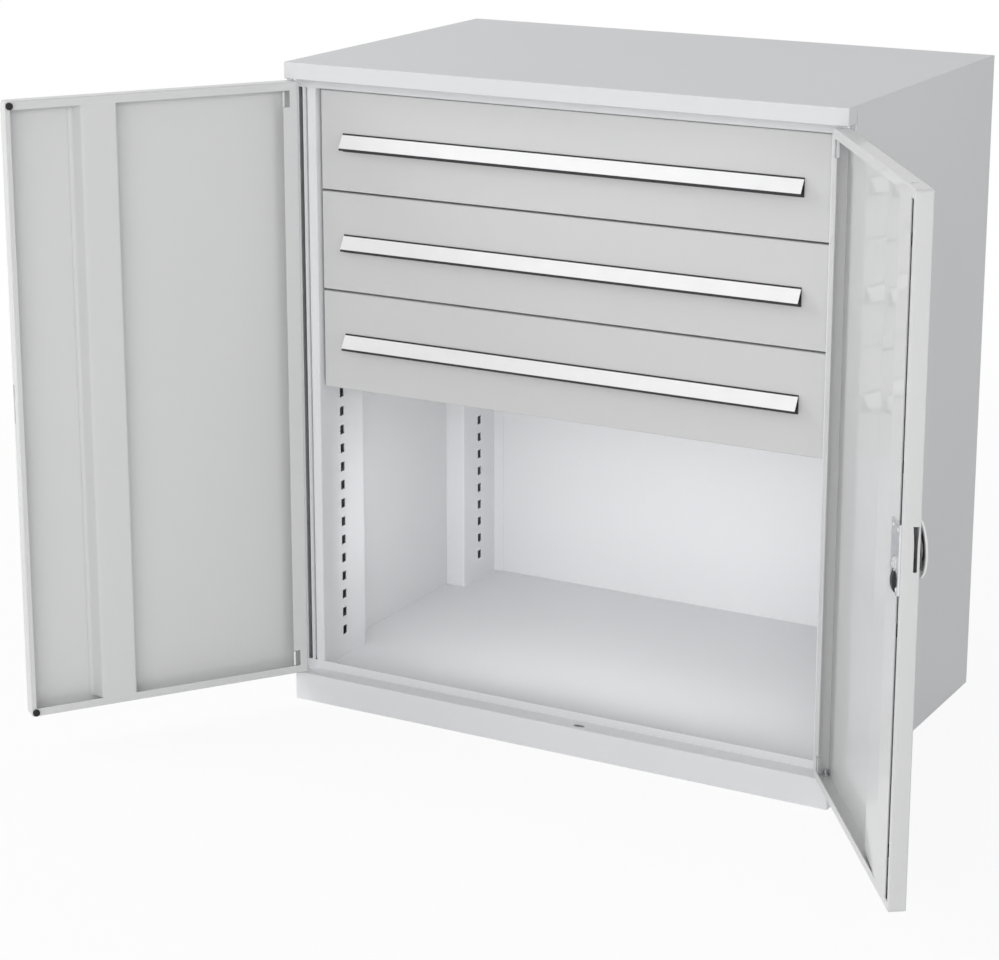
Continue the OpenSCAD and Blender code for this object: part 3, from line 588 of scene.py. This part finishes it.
def thicken(work, thickness, offset):
    wall = work.modifiers.new("wall", "SOLIDIFY")
    wall.thickness = thickness
    wall.offset = offset
    wall.use_even_offset = True


def punch_out(work, cuts, crossing):
    """Cuts the holes and gives back the tool."""
    tool = as_object("punch", as_mesh("punch", cuts))
    punch = work.modifiers.new("punch", "BOOLEAN")
    punch.operation = "DIFFERENCE"
    punch.solver = "EXACT"
    punch.use_self = crossing
    punch.object = tool
    return tool


def break_edges(work, width, segments):
    soft = work.modifiers.new("broken edges", "BEVEL")
    soft.limit_method = "ANGLE"
    soft.angle_limit = SHARP
    soft.width = width
    soft.segments = segments
    return soft


def formed(skin, thickness=0.0, offset=-1.0, cuts=None, fold=0.0, soften=0.0, crossing=False):
    """Rounds marked folds, thickens a skin, cuts the holes, softens edges and returns the solid."""
    skin.normal_update()
    work = as_object("forming", as_mesh("forming", skin))
    waste = [work]
    if fold:
        bend_folds(work, fold)
    if thickness:
        thicken(work, thickness, offset)
    if cuts:
        waste.append(punch_out(work, cuts, crossing))
    if soften:
        break_edges(work, soften, segments=3)
    made = bpy.data.meshes.new_from_object(work.evaluated_get(bpy.context.evaluated_depsgraph_get()))
    solid = bmesh.new()
    solid.from_mesh(made)
    for thing in waste:
        old = thing.data
        bpy.data.objects.remove(thing)
        bpy.data.meshes.remove(old)
    bpy.data.meshes.remove(made)
    return solid


def folded_strip(points, start, end, radius, thickness, cuts=None):
    """An upright strip folded along its length: points are the middle of its section from above."""
    skin = bmesh.new()
    verts = [skin.verts.new((x, y, start)) for x, y in points]
    edges = [skin.edges.new(pair) for pair in zip(verts, verts[1:])]
    swept = bmesh.ops.extrude_edge_only(skin, edges=edges)["geom"]
    upper = [item for item in swept if isinstance(item, bmesh.types.BMVert)]
    bmesh.ops.translate(skin, vec=(0.0, 0.0, end - start), verts=upper)
    bmesh.ops.recalc_face_normals(skin, faces=skin.faces[:])
    round_edges(skin, folds(skin, least=3), radius, segments=4)
    return formed(skin, thickness, offset=0.0, cuts=cuts)


def hand_over(solid, hand, on_door=False):
    """Turns a right-hand shape into the asked hand, and swings it open where it sits on a door."""
    if SIDES[hand] < 0:
        bmesh.ops.scale(solid, vec=(-1, 1, 1), verts=solid.verts[:])
        bmesh.ops.reverse_faces(solid, faces=solid.faces[:])
    if on_door:
        bmesh.ops.transform(solid, matrix=door_swing(hand), verts=solid.verts[:])


def shade_evenly(thing):
    even = thing.modifiers.new("even shading", "WEIGHTED_NORMAL")
    even.keep_sharp = True


def make_piece(name, solid, nodes=(), body=None, slot=None, smooth=38):
    """Turns a solid into a piece with even shading, its finish and its place among the bodies."""
    if not solid.faces:
        raise RuntimeError("no faces were made for " + name)
    for edge in solid.edges:
        edge.smooth = edge.calc_face_angle(0.0) < radians(smooth)
    for face in solid.faces:
        face.smooth = True
    piece = as_object(name, as_mesh(name, solid))
    shade_evenly(piece)
    slot = slot or SLOT_OF[nodes[0]]
    piece.data.materials.append(finish_of(slot, nodes))
    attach(piece, body or BODY_OF[nodes[0]])
    if nodes:
        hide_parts(*nodes)


def dress_node(node, edge):
    """Gives a CAD node its finish and breaks its sharp edges."""
    thing = frame["nodes"][node]
    thing.data.materials.clear()
    thing.data.materials.append(finish_of(SLOT_OF[node], [node]))
    weld = thing.modifiers.new("weld", "WELD")
    weld.merge_threshold = MERGE
    flat = thing.modifiers.new("flat faces", "DECIMATE")
    flat.decimate_type = "DISSOLVE"
    flat.angle_limit = FLAT
    soft = break_edges(thing, edge, segments=2)
    soft.harden_normals = True
    shade_evenly(thing)


class CABINET_OT_stage(bpy.types.Operator):
    """Sets up the floor, the light and the camera"""

    bl_idname = "cabinet.stage"
    bl_label = "Stage"

    def execute(self, context):
        scene = context.scene
        studio = scene.cabinet_studio
        scene.view_settings.view_transform = "Standard"
        self.floor(studio)
        self.sky(scene, studio.ambient)
        target = Vector(studio.target)
        for light in LIGHTS:
            power, place, size = (getattr(studio, light + end) for end in ("", "_place", "_size"))
            self.lamp(scene, light + "_light", power, place, target, size)
        self.inner_light(scene, studio)
        self.camera(scene, studio)
        return {"FINISHED"}

    @staticmethod
    def camera(scene, studio):
        data = bpy.data.cameras.new("camera")
        camera = bpy.data.objects.new("camera", data)
        scene.collection.objects.link(camera)
        camera.location = studio.place
        camera.rotation_euler = (pi / 2 - studio.pitch, 0.0, studio.yaw)
        data.lens = studio.lens
        data.sensor_width = studio.sensor
        data.shift_y = studio.shift
        data.clip_end = studio.reach
        scene.camera = camera

    @staticmethod
    def seen(shader):
        """1 for what the camera sees directly or by mirror and glass."""
        path = shader.node("ShaderNodeLightPath")
        rays = [Flow(shader, path.socket.node.outputs[name])
                for name in ("Is Camera Ray", "Is Glossy Ray", "Is Transmission Ray")]
        return rays[0].maximum(rays[1]).maximum(rays[2])

    def floor(self, studio):
        """A pale floor that goes white away from the object and keeps its shadow."""
        skin = bmesh.new()
        under = Matrix.Translation((0, 0, -studio.floor_drop))
        bmesh.ops.create_grid(skin, x_segments=1, y_segments=1, size=studio.floor_half, matrix=under)
        floor = as_object("floor", as_mesh("floor", skin))
        material = bpy.data.materials.new("pale_floor")
        shader = Shader(material)
        where = shader.node("ShaderNodeTexCoord", out="Object")
        away = shader.node("ShaderNodeVectorMath", {"operation": "LENGTH"}, {0: where}, out="Value")
        far = shader.remap(away, studio.fade_start, studio.fade_end, studio.near_white, 1.0)
        grey = tint([studio.floor_tone] * 3, 1.0)
        plain = shader.node("ShaderNodeBsdfDiffuse", inputs={"Color": grey})
        white = shader.node("ShaderNodeEmission", inputs={"Color": WHITE, "Strength": 1.0})
        mixed = shader.node("ShaderNodeMixShader", inputs={0: self.seen(shader) * far, 1: plain, 2: white})
        shader.node("ShaderNodeOutputMaterial", inputs={"Surface": mixed})
        floor.data.materials.append(material)

    def sky(self, scene, ambient):
        """An even light that is white where it is seen."""
        world = bpy.data.worlds.new("studio")
        scene.world = world
        shader = Shader(world)
        even = shader.node("ShaderNodeBackground", inputs={"Color": WHITE, "Strength": ambient})
        white = shader.node("ShaderNodeBackground", inputs={"Color": WHITE, "Strength": 1.0})
        mixed = shader.node("ShaderNodeMixShader", inputs={0: self.seen(shader), 1: even, 2: white})
        shader.node("ShaderNodeOutputWorld", inputs={"Surface": mixed})

    def inner_light(self, scene, studio):
        """A soft light in the opening under the drawers, shining in."""
        floor = span("floor_panel")[1].z
        low, high = span(DRAWERS[-1] + "_front")
        place = Vector((0.0, high.y, (floor + low.z) / 2))
        size = (studio.inner_wide * (high.x - low.x), studio.inner_tall * (low.z - floor))
        self.lamp(scene, "inner_light", studio.inner, place, place + INWARD, size)

    @staticmethod
    def lamp(scene, name, power, place, target, size):
        """A soft box that looks at a target."""
        data = bpy.data.lights.new(name, "AREA")
        data.shape = "RECTANGLE"
        data.size, data.size_y = size
        data.energy = power
        lamp = bpy.data.objects.new(name, data)
        scene.collection.objects.link(lamp)
        lamp.location = place
        lamp.rotation_euler = (target - Vector(place)).to_track_quat("-Z", "Y").to_euler()
        lamp.visible_camera = False
        lamp.visible_glossy = False


class CABINET_OT_carcass(bpy.types.Operator):
    """Folds the top cover, the side panels and the front plinth"""

    bl_idname = "cabinet.carcass"
    bl_label = "Carcass"

    def execute(self, context):
        sizes, lock = context.scene.cabinet_sheet, context.scene.cabinet_lock
        self.top_cover(sizes, lock)
        self.plinth(sizes, lock)
        for hand in SIDES:
            self.side_panel(sizes, hand)
        return {"FINISHED"}

    def top_cover(self, sizes, lock):
        """A cover with a closed nose over the doors and a low flange round the rest."""
        low, high = span("top_cover")
        stile = span("top_front_rail")[0].y
        flange = high.z - sizes.cover_flange
        skin = box_skin(low, high)
        slice_at(skin, (0, stile, 0), (0, 1, 0))
        drop_faces(skin, lambda at, way: way.z < -MOSTLY and at.y > stile)
        slice_at(skin, (0, 0, flange), (0, 0, 1), lambda at, way: at.y > stile)
        drop_faces(skin, lambda at, way: at.y > stile and at.z < flange)
        round_edges(skin, folds(skin), sizes.fold * sizes.cover_fold)
        cuts = self.strike(lock, low.z)
        make_piece("top_cover_sheet", formed(skin, sizes.thickness, cuts=cuts), ["top_cover"])

    def plinth(self, sizes, lock):
        """A front with a ledge under the doors."""
        low, high = span("plinth_front")
        high.y = span("top_front_rail")[0].y
        skin = box_skin(low, high)
        drop_faces(skin, lambda at, way: way.z < -MOSTLY)
        front = [edge for edge in folds(skin) if middle_of(edge).y < high.y - MM]
        round_edges(skin, front, sizes.fold)
        cuts = self.strike(lock, high.z)
        make_piece("plinth_sheet", formed(skin, sizes.thickness, cuts=cuts), ["plinth_front"])

    @staticmethod
    def strike(lock, level):
        """The round-ended slot that takes a lock rod."""
        spindle = spindle_point()
        depth = spindle.y + lock.rod_depth
        cuts = box_skin((spindle.x - lock.strike, depth - lock.rod_hole, level - PUNCH),
                        (spindle.x + lock.strike, depth + lock.rod_hole, level + PUNCH))
        upright = [edge for edge in cuts.edges if abs(run_of(edge).z) > MM]
        round_edges(cuts, upright, lock.rod_hole * lock.strike_end, segments=8)
        return cuts

    @staticmethod
    def side_panel(sizes, hand):
        """A side with a fold at the back and a narrow hem in front, between the plinth and the nose."""
        node = hand + "_side_panel"
        low, high = span("right_side_panel")
        high.z = span("top_cover")[1].z - sizes.cover_flange
        plinth, nose = span("plinth_front")[1].z, span("top_cover")[0].z
        hem = high.x - sizes.hem
        skin = box_skin(low, high)

        def in_front(at, way):
            return way.y < -MOSTLY

        def beside_hem(at, way):
            return in_front(at, way) and (at.x < hem or at.z < plinth or at.z > nose)

        drop_faces(skin, lambda at, way: way.x < -MOSTLY or abs(way.z) > MOSTLY)
        slice_at(skin, (hem, 0, 0), (1, 0, 0), in_front)
        for level in (plinth, nose):
            slice_at(skin, (0, 0, level), (0, 0, 1), in_front)
        drop_faces(skin, beside_hem)
        round_edges(skin, folds(skin), sizes.fold)
        solid = formed(skin, sizes.thickness)
        hand_over(solid, hand)
        make_piece(node + "_sheet", solid, [node])


class CABINET_OT_uprights(bpy.types.Operator):
    """Folds the four uprights and punches their shelf slots"""

    bl_idname = "cabinet.uprights"
    bl_label = "Uprights"

    def execute(self, context):
        sizes = context.scene.cabinet_sheet
        for hand in SIDES:
            self.front_upright(sizes, hand)
            self.rear_upright(sizes, hand)
        return {"FINISHED"}

    def front_upright(self, sizes, hand):
        """A front face with its bead, a slotted web and a fold to the side, cut free of the floor's lip."""
        half = sizes.thickness / 2
        low, high = span("right_front_upright")
        stile = low.x + sizes.stile - half
        near, front = low.x + sizes.bead_place, low.y + half
        far, deep = near + sizes.bead_width, front + sizes.bead_depth
        web, rear = low.x + half, high.y - half
        points = [(stile, low.y + sizes.stile_return), (stile, front), (far, front), (far, deep),
                  (near, deep), (near, front), (web, front), (web, rear), (high.x, rear)]
        cuts = self.slots(sizes, low, high, low.x)
        lip = span("floor_panel")[1].z
        add_box(cuts, (low.x + CLEAR, low.y - MM, low.z - MM),
                (stile + CLEAR, low.y + sizes.stile_foot, lip))
        self.upright(hand + "_front_upright", points, low, high, cuts, sizes, hand)

    def rear_upright(self, sizes, hand):
        """A slotted web with a fold to the side in front and one inwards at the back."""
        half = sizes.thickness / 2
        low, high = span("right_rear_upright")
        web = low.x + sizes.back_return + half
        front, rear = low.y + half, high.y - half
        points = [(high.x, front), (web, front), (web, rear), (low.x, rear)]
        cuts = self.slots(sizes, low, high, web - half)
        self.upright(hand + "_rear_upright", points, low, high, cuts, sizes, hand)

    @staticmethod
    def slots(sizes, low, high, web):
        """A row of shelf slots in the middle of a web."""
        cuts = bmesh.new()
        middle = (low.y + high.y) / 2
        count = int((high.z - low.z - sizes.slot_first - sizes.slot_height) / sizes.slot_pitch) + 1
        for index in range(count):
            z = low.z + sizes.slot_first + index * sizes.slot_pitch
            add_box(cuts, (web - CLEAR, middle - sizes.slot_width / 2, z),
                    (web + PUNCH, middle + sizes.slot_width / 2, z + sizes.slot_height))
        return cuts

    @staticmethod
    def upright(node, points, low, high, cuts, sizes, hand):
        solid = folded_strip(points, low.z, high.z, sizes.upright_fold, sizes.thickness, cuts)
        hand_over(solid, hand)
        make_piece(node + "_sheet", solid, [node])


class CABINET_OT_doors(bpy.types.Operator):
    """Folds the door pans and their stiffeners"""

    bl_idname = "cabinet.doors"
    bl_label = "Doors"

    def execute(self, context):
        scene = context.scene
        sizes, door = scene.cabinet_sheet, scene.cabinet_door
        for hand in SIDES:
            self.pan(sizes, door, scene.cabinet_lock, hand)
        half = sizes.thickness / 2
        low, high = closed_span("left_door_shell", "left")
        base, top = low.y + sizes.thickness + half, high.y - half
        wall = low.x + door.stiffener_end - half
        heel = [(wall, base), (wall + half + door.foot, base)]
        start = low.x + door.left_slope_start
        left = [(start - door.left_toe, base), (start, base), (start + door.left_slope, top), (wall, top)]
        self.stiffener(sizes, door, "left", low, high, left + heel)
        start = low.x + door.right_crown_start
        right = [(start, top), (start + door.crown, top), (wall, top - door.right_drop)]
        self.stiffener(sizes, door, "right", low, high, right + heel)
        return {"FINISHED"}

    def pan(self, sizes, door, lock, hand):
        """A door's pan: outer skin, four edges and inner returns, with its notches and holes."""
        node = hand + "_door_shell"
        low, high = closed_span(node, hand)
        window_low = Vector((low.x + door.free_return, high.y, low.z + door.end_return))
        window_high = Vector((high.x - door.hinge_return, high.y, high.z - door.end_return))
        skin = box_skin(low, high)
        back = inset_back(skin, door.free_return / 2)
        middle = back.calc_center_median()
        for vert in back.verts:
            vert.co.x = window_low.x if vert.co.x < middle.x else window_high.x
            vert.co.z = window_low.z if vert.co.z < middle.z else window_high.z
        bmesh.ops.delete(skin, geom=[back], context="FACES_ONLY")

        def radius_of(at, way):
            if abs(way.y) > MM:
                return door.free_corner if at.x < middle.x else door.hinge_corner
            return door.bead if at.x < low.x + MM and at.y > high.y - MM else sizes.fold

        weigh_folds(skin, radius_of, door.bead)
        cuts = bmesh.new()
        for start in (window_low.z, window_high.z - door.notch_height):
            add_box(cuts, (window_high.x - MM, high.y - SHEET_CUT, start),
                    (window_high.x + door.notch_width, high.y + MM, start + door.notch_height))
        self.edge_slot(cuts, door, low)
        if hand == "right":
            self.lock_holes(cuts, lock, low, high)
        solid = formed(skin, sizes.thickness, cuts=cuts, fold=door.bead)
        hand_over(solid, hand, on_door=True)
        make_piece(node + "_sheet", solid, [node])

    @staticmethod
    def lock_holes(cuts, lock, low, high):
        """Holes for the two rods in the ends and for the spindle in the skin."""
        spindle = spindle_point()
        for z in (low.z, high.z):
            start = (spindle.x, low.y + lock.rod_depth, z - PUNCH)
            add_round(cuts, start, (0, 0, 2 * PUNCH), lock.rod_hole)
        add_round(cuts, (spindle.x, low.y - MM, spindle.z), (0, PUNCH, 0), lock.rod_hole + MM)

    @staticmethod
    def edge_slot(cuts, door, low):
        """The hook's slot in the free edge, wider where the hook swings in from above."""
        made = add_box(cuts, (low.x - MM, low.y + door.slot_near, door.slot_low),
                       (low.x + SHEET_CUT, low.y + door.slot_far, door.slot_high))
        edges = {edge for vert in made for edge in vert.link_edges}
        faces = {face for vert in made for face in vert.link_faces}
        bmesh.ops.bisect_plane(cuts, geom=[*made, *edges, *faces], plane_co=(0, 0, door.slot_flare),
                               plane_no=(0, 0, 1))
        middle = low.y + (door.slot_near + door.slot_far) / 2
        for vert in cuts.verts:
            if vert.co.z > door.slot_high - MM and vert.co.x < low.x + PUNCH:
                vert.co.y += -door.slot_spread if vert.co.y < middle else door.slot_spread

    @staticmethod
    def stiffener(sizes, door, hand, low, high, section):
        node = hand + "_door_stiffener"
        bottom, top = low.z + door.end_return, high.z - door.end_return
        solid = folded_strip(section, bottom, top, sizes.soft_fold, sizes.thickness)
        hand_over(solid, hand, on_door=True)
        make_piece(node + "_sheet", solid, [node])


class CABINET_OT_drawers(bpy.types.Operator):
    """Folds the drawer fronts"""

    bl_idname = "cabinet.drawers"
    bl_label = "Drawers"

    def execute(self, context):
        sizes = context.scene.cabinet_sheet
        for drawer in DRAWERS:
            node = drawer + "_front"
            skin = box_skin(*span(node))
            back = inset_back(skin, sizes.front_return)
            bmesh.ops.delete(skin, geom=[back], context="FACES_ONLY")
            round_edges(skin, folds(skin), sizes.fold * sizes.front_fold)
            make_piece(node + "_sheet", formed(skin, sizes.thickness), [node])
        return {"FINISHED"}


class CABINET_OT_fittings(bpy.types.Operator):
    """Makes the rubber bumpers and the hinge bars"""

    bl_idname = "cabinet.fittings"
    bl_label = "Fittings"

    def execute(self, context):
        self.bumpers()
        for hand in SIDES:
            self.hinge_bars(context.scene.cabinet_door, hand)
        return {"FINISHED"}

    @staticmethod
    def bumpers():
        """Two domed rubber buttons."""
        low, high = closed_span("left_door_bumpers", "left")
        radius, tall = (high.x - low.x) / 2, high.y - low.y
        section = [(radius * r, tall * h) for r, h in BUMPER_DOME]
        solid = bmesh.new()
        for z in (low.z + radius, high.z - radius):
            add_turned(solid, section, Vector(((low.x + high.x) / 2, low.y, z)), INWARD, steps=28)
        hand_over(solid, "left", on_door=True)
        make_piece("left_door_bumper_buttons", solid, ["left_door_bumpers"])

    @staticmethod
    def hinge_bars(door, hand):
        """The bright bars of the sprung hinge bolts, seen in the notches of the door."""
        low, high = closed_span(hand + "_door_shell", hand)
        edge = high.x - door.hinge_return - door.bar_set
        solid = bmesh.new()
        for start in (low.z + door.end_return, high.z - door.end_return - door.notch_height):
            add_box(solid, (edge, high.y - door.bar_depth, start + MM),
                    (edge + door.bar, high.y - door.bar_set, start + door.notch_height - MM))
        round_edges(solid, solid.edges[:], door.bar_edge, segments=2)
        hand_over(solid, hand, on_door=True)
        make_piece(hand + "_hinge_bars", solid, body=hand + "_door", slot="pin_steel")


class CABINET_OT_lock(bpy.types.Operator):
    """Makes the turn handle, its plug and the lock case with its screws"""

    bl_idname = "cabinet.lock"
    bl_label = "Lock"

    def execute(self, context):
        lock = context.scene.cabinet_lock
        spindle = spindle_point()
        self.turn_handle(lock, spindle)
        self.plug(lock, spindle)
        self.case(lock, spindle)
        return {"FINISHED"}

    def turn_handle(self, lock, spindle):
        """A round chrome handle: hub, thin rim and dome with a finger hollow on each side of the grip."""
        low, high = closed_span("turn_handle", "right")
        plug_low, plug_high = closed_span("lock_plug", "right")
        back = Vector((spindle.x, high.y, spindle.z))
        rim, tall = (high.x - low.x) / 2, high.y - low.y
        third = tall / 3
        section = [(0.0, 0.0), (lock.hub - MM, 0.0), (lock.hub, MM), (lock.hub, third - MM),
                   (lock.hub + MM, third), (rim - lock.rim_back, third), (rim, third + lock.rim_back),
                   (rim, third * 2 - lock.rim_front), (rim - MM, third * 2 + lock.rim_rise)]
        section += [(rim * r, tall * h) for r, h in HANDLE_DOME]
        skin = bmesh.new()
        add_turned(skin, section, back, OUTWARD, steps=96)
        cuts = bmesh.new()
        for side in (-1, 1):
            join_into(cuts, self.hollow(lock, back, tall, side))
        bore = (plug_high.x - plug_low.x) / 2 + lock.plug_play
        add_round(cuts, (spindle.x, plug_high.y, spindle.z), OUTWARD * (2 * tall), bore, segments=48)
        solid = formed(skin, cuts=cuts, soften=lock.handle_edge)
        hand_over(solid, "right", on_door=True)
        make_piece("turn_handle_knob", solid, ["turn_handle"])

    @staticmethod
    def hollow(lock, back, tall, side):
        """The finger hollow below or above the grip: a round, cut off along the grip."""
        hollow = bmesh.new()
        add_round(hollow, back + OUTWARD * lock.hollow_floor, OUTWARD * tall, lock.hollow, segments=64)
        everything = [*hollow.verts, *hollow.edges, *hollow.faces]
        cut = bmesh.ops.bisect_plane(hollow, geom=everything, plane_co=(0, 0, back.z + side * lock.grip / 2),
                                     plane_no=(0, 0, -side), clear_outer=True)["geom_cut"]
        rim = [item for item in cut if isinstance(item, bmesh.types.BMEdge)]
        bmesh.ops.contextual_create(hollow, geom=rim)
        return hollow

    @staticmethod
    def plug(lock, spindle):
        """The lock plug with a broken edge and a key slot."""
        low, high = closed_span("lock_plug", "right")
        radius, tall, edge = (high.x - low.x) / 2, high.y - low.y, lock.plug_edge
        section = [(0.0, 0.0), (radius, 0.0), (radius, tall - edge), (radius - edge, tall), (0.0, tall)]
        skin = bmesh.new()
        add_turned(skin, section, Vector((spindle.x, high.y, spindle.z)), OUTWARD, steps=40)
        half = Vector((radius * lock.key_length, lock.key_depth, lock.key_half))
        front = Vector((spindle.x, low.y, spindle.z))
        solid = formed(skin, cuts=box_skin(front - half, front + half), soften=lock.key_edge)
        hand_over(solid, "right", on_door=True)
        make_piece("lock_plug_face", solid, ["lock_plug"])

    def case(self, lock, spindle):
        """The plated lock case: a rounded plate, its nut and four cross-recessed screws."""
        low, high = closed_span("lock_case", "right")
        plate = box_skin(low, high)
        deep = [edge for edge in plate.edges if abs(run_of(edge).y) > MM]
        round_edges(plate, deep, lock.case_corner, segments=6)
        face = high.y - NEAR
        front = [edge for edge in folds(plate, least=60) if all(vert.co.y > face for vert in edge.verts)]
        round_edges(plate, front, lock.case_edge)
        hand_over(plate, "right", on_door=True)
        make_piece("lock_case_plate", plate, ["lock_case"], smooth=30)
        self.case_nut(lock, Vector(((low.x + high.x) / 2, high.y, spindle.z - lock.nut_drop)))
        self.screws(lock, low, high)

    @staticmethod
    def case_nut(lock, seat):
        """A six-sided nut on a washer, with the end of its bolt."""
        washer = [(0.0, 0.0), (lock.nut * lock.washer_foot, 0.0),
                  (lock.nut * lock.washer_top, lock.washer_height), (0.0, lock.washer_height)]
        nut = bmesh.new()
        add_turned(nut, washer, seat, INWARD)
        add_round(nut, seat, INWARD * lock.nut_height, lock.nut, segments=6)
        add_round(nut, seat, INWARD * lock.bolt_height, lock.nut * lock.bolt, segments=24)
        round_edges(nut, folds(nut, least=50), lock.nut_edge, segments=2)
        hand_over(nut, "right", on_door=True)
        make_piece("lock_case_nut", nut, body="right_door", slot="zinc_steel")

    @staticmethod
    def screws(lock, low, high):
        """Four domed heads with a cross recess."""
        head_low, head_high = closed_span("lock_case_screws", "right")
        tall = head_high.y - head_low.y
        radius = low.x + lock.screw_inset - head_low.x
        section = [(radius * r, tall * h) for r, h in SCREW_DOME]
        arms = ((lock.cross_long, lock.cross_thin), (lock.cross_thin, lock.cross_long))
        skin, cuts = bmesh.new(), bmesh.new()
        for x in (low.x + lock.screw_inset, high.x - lock.screw_inset):
            for z in (low.z + lock.screw_inset, high.z - lock.screw_inset):
                seat = Vector((x, head_low.y, z))
                add_turned(skin, section, seat, INWARD, steps=24)
                top = seat + INWARD * tall
                for across, upright in arms:
                    half = Vector((across * radius, tall * lock.cross_deep, upright * radius))
                    add_box(cuts, top - half, top + half)
        solid = formed(skin, cuts=cuts, crossing=True)
        hand_over(solid, "right", on_door=True)
        make_piece("lock_case_screw_heads", solid, ["lock_case_screws"])


class CABINET_OT_solids(bpy.types.Operator):
    """Gives the remaining solid parts their finish and breaks their edges"""

    bl_idname = "cabinet.solids"
    bl_label = "Solid parts"

    def execute(self, context):
        sizes = context.scene.cabinet_sheet
        for node, thing in frame["nodes"].items():
            if not thing.hide_render:
                dress_node(node, sizes.edge * sizes.grip_edge if node == "lock_grip" else sizes.edge)
        return {"FINISHED"}


class CABINET_PT_panel(bpy.types.Panel):
    """Lists the steps that dress the cabinet"""

    bl_idname = "CABINET_PT_panel"
    bl_label = "Storage cabinet"
    bl_space_type = "VIEW_3D"
    bl_region_type = "UI"
    bl_category = "Cabinet"

    def draw(self, context):
        for step in STEPS:
            self.layout.operator(step.bl_idname)


GROUPS = {"cabinet_sheet": CabinetSheet, "cabinet_door": CabinetDoor, "cabinet_lock": CabinetLock,
          "cabinet_finish": CabinetFinish, "cabinet_studio": CabinetStudio}
STEPS = (CABINET_OT_stage, CABINET_OT_carcass, CABINET_OT_uprights, CABINET_OT_doors, CABINET_OT_drawers,
         CABINET_OT_fittings, CABINET_OT_lock, CABINET_OT_solids)


def register():
    for item in (*GROUPS.values(), *STEPS, CABINET_PT_panel):
        bpy.utils.register_class(item)
    for name, group in GROUPS.items():
        setattr(bpy.types.Scene, name, bpy.props.PointerProperty(type=group))


def unregister():
    for name in GROUPS:
        delattr(bpy.types.Scene, name)
    for item in (CABINET_PT_panel, *reversed(STEPS), *reversed(list(GROUPS.values()))):
        bpy.utils.unregister_class(item)


def main():
    register()
    for step in STEPS:
        group, name = step.bl_idname.split(".")
        getattr(getattr(bpy.ops, group), name)()


if __name__ == "__main__":
    main()
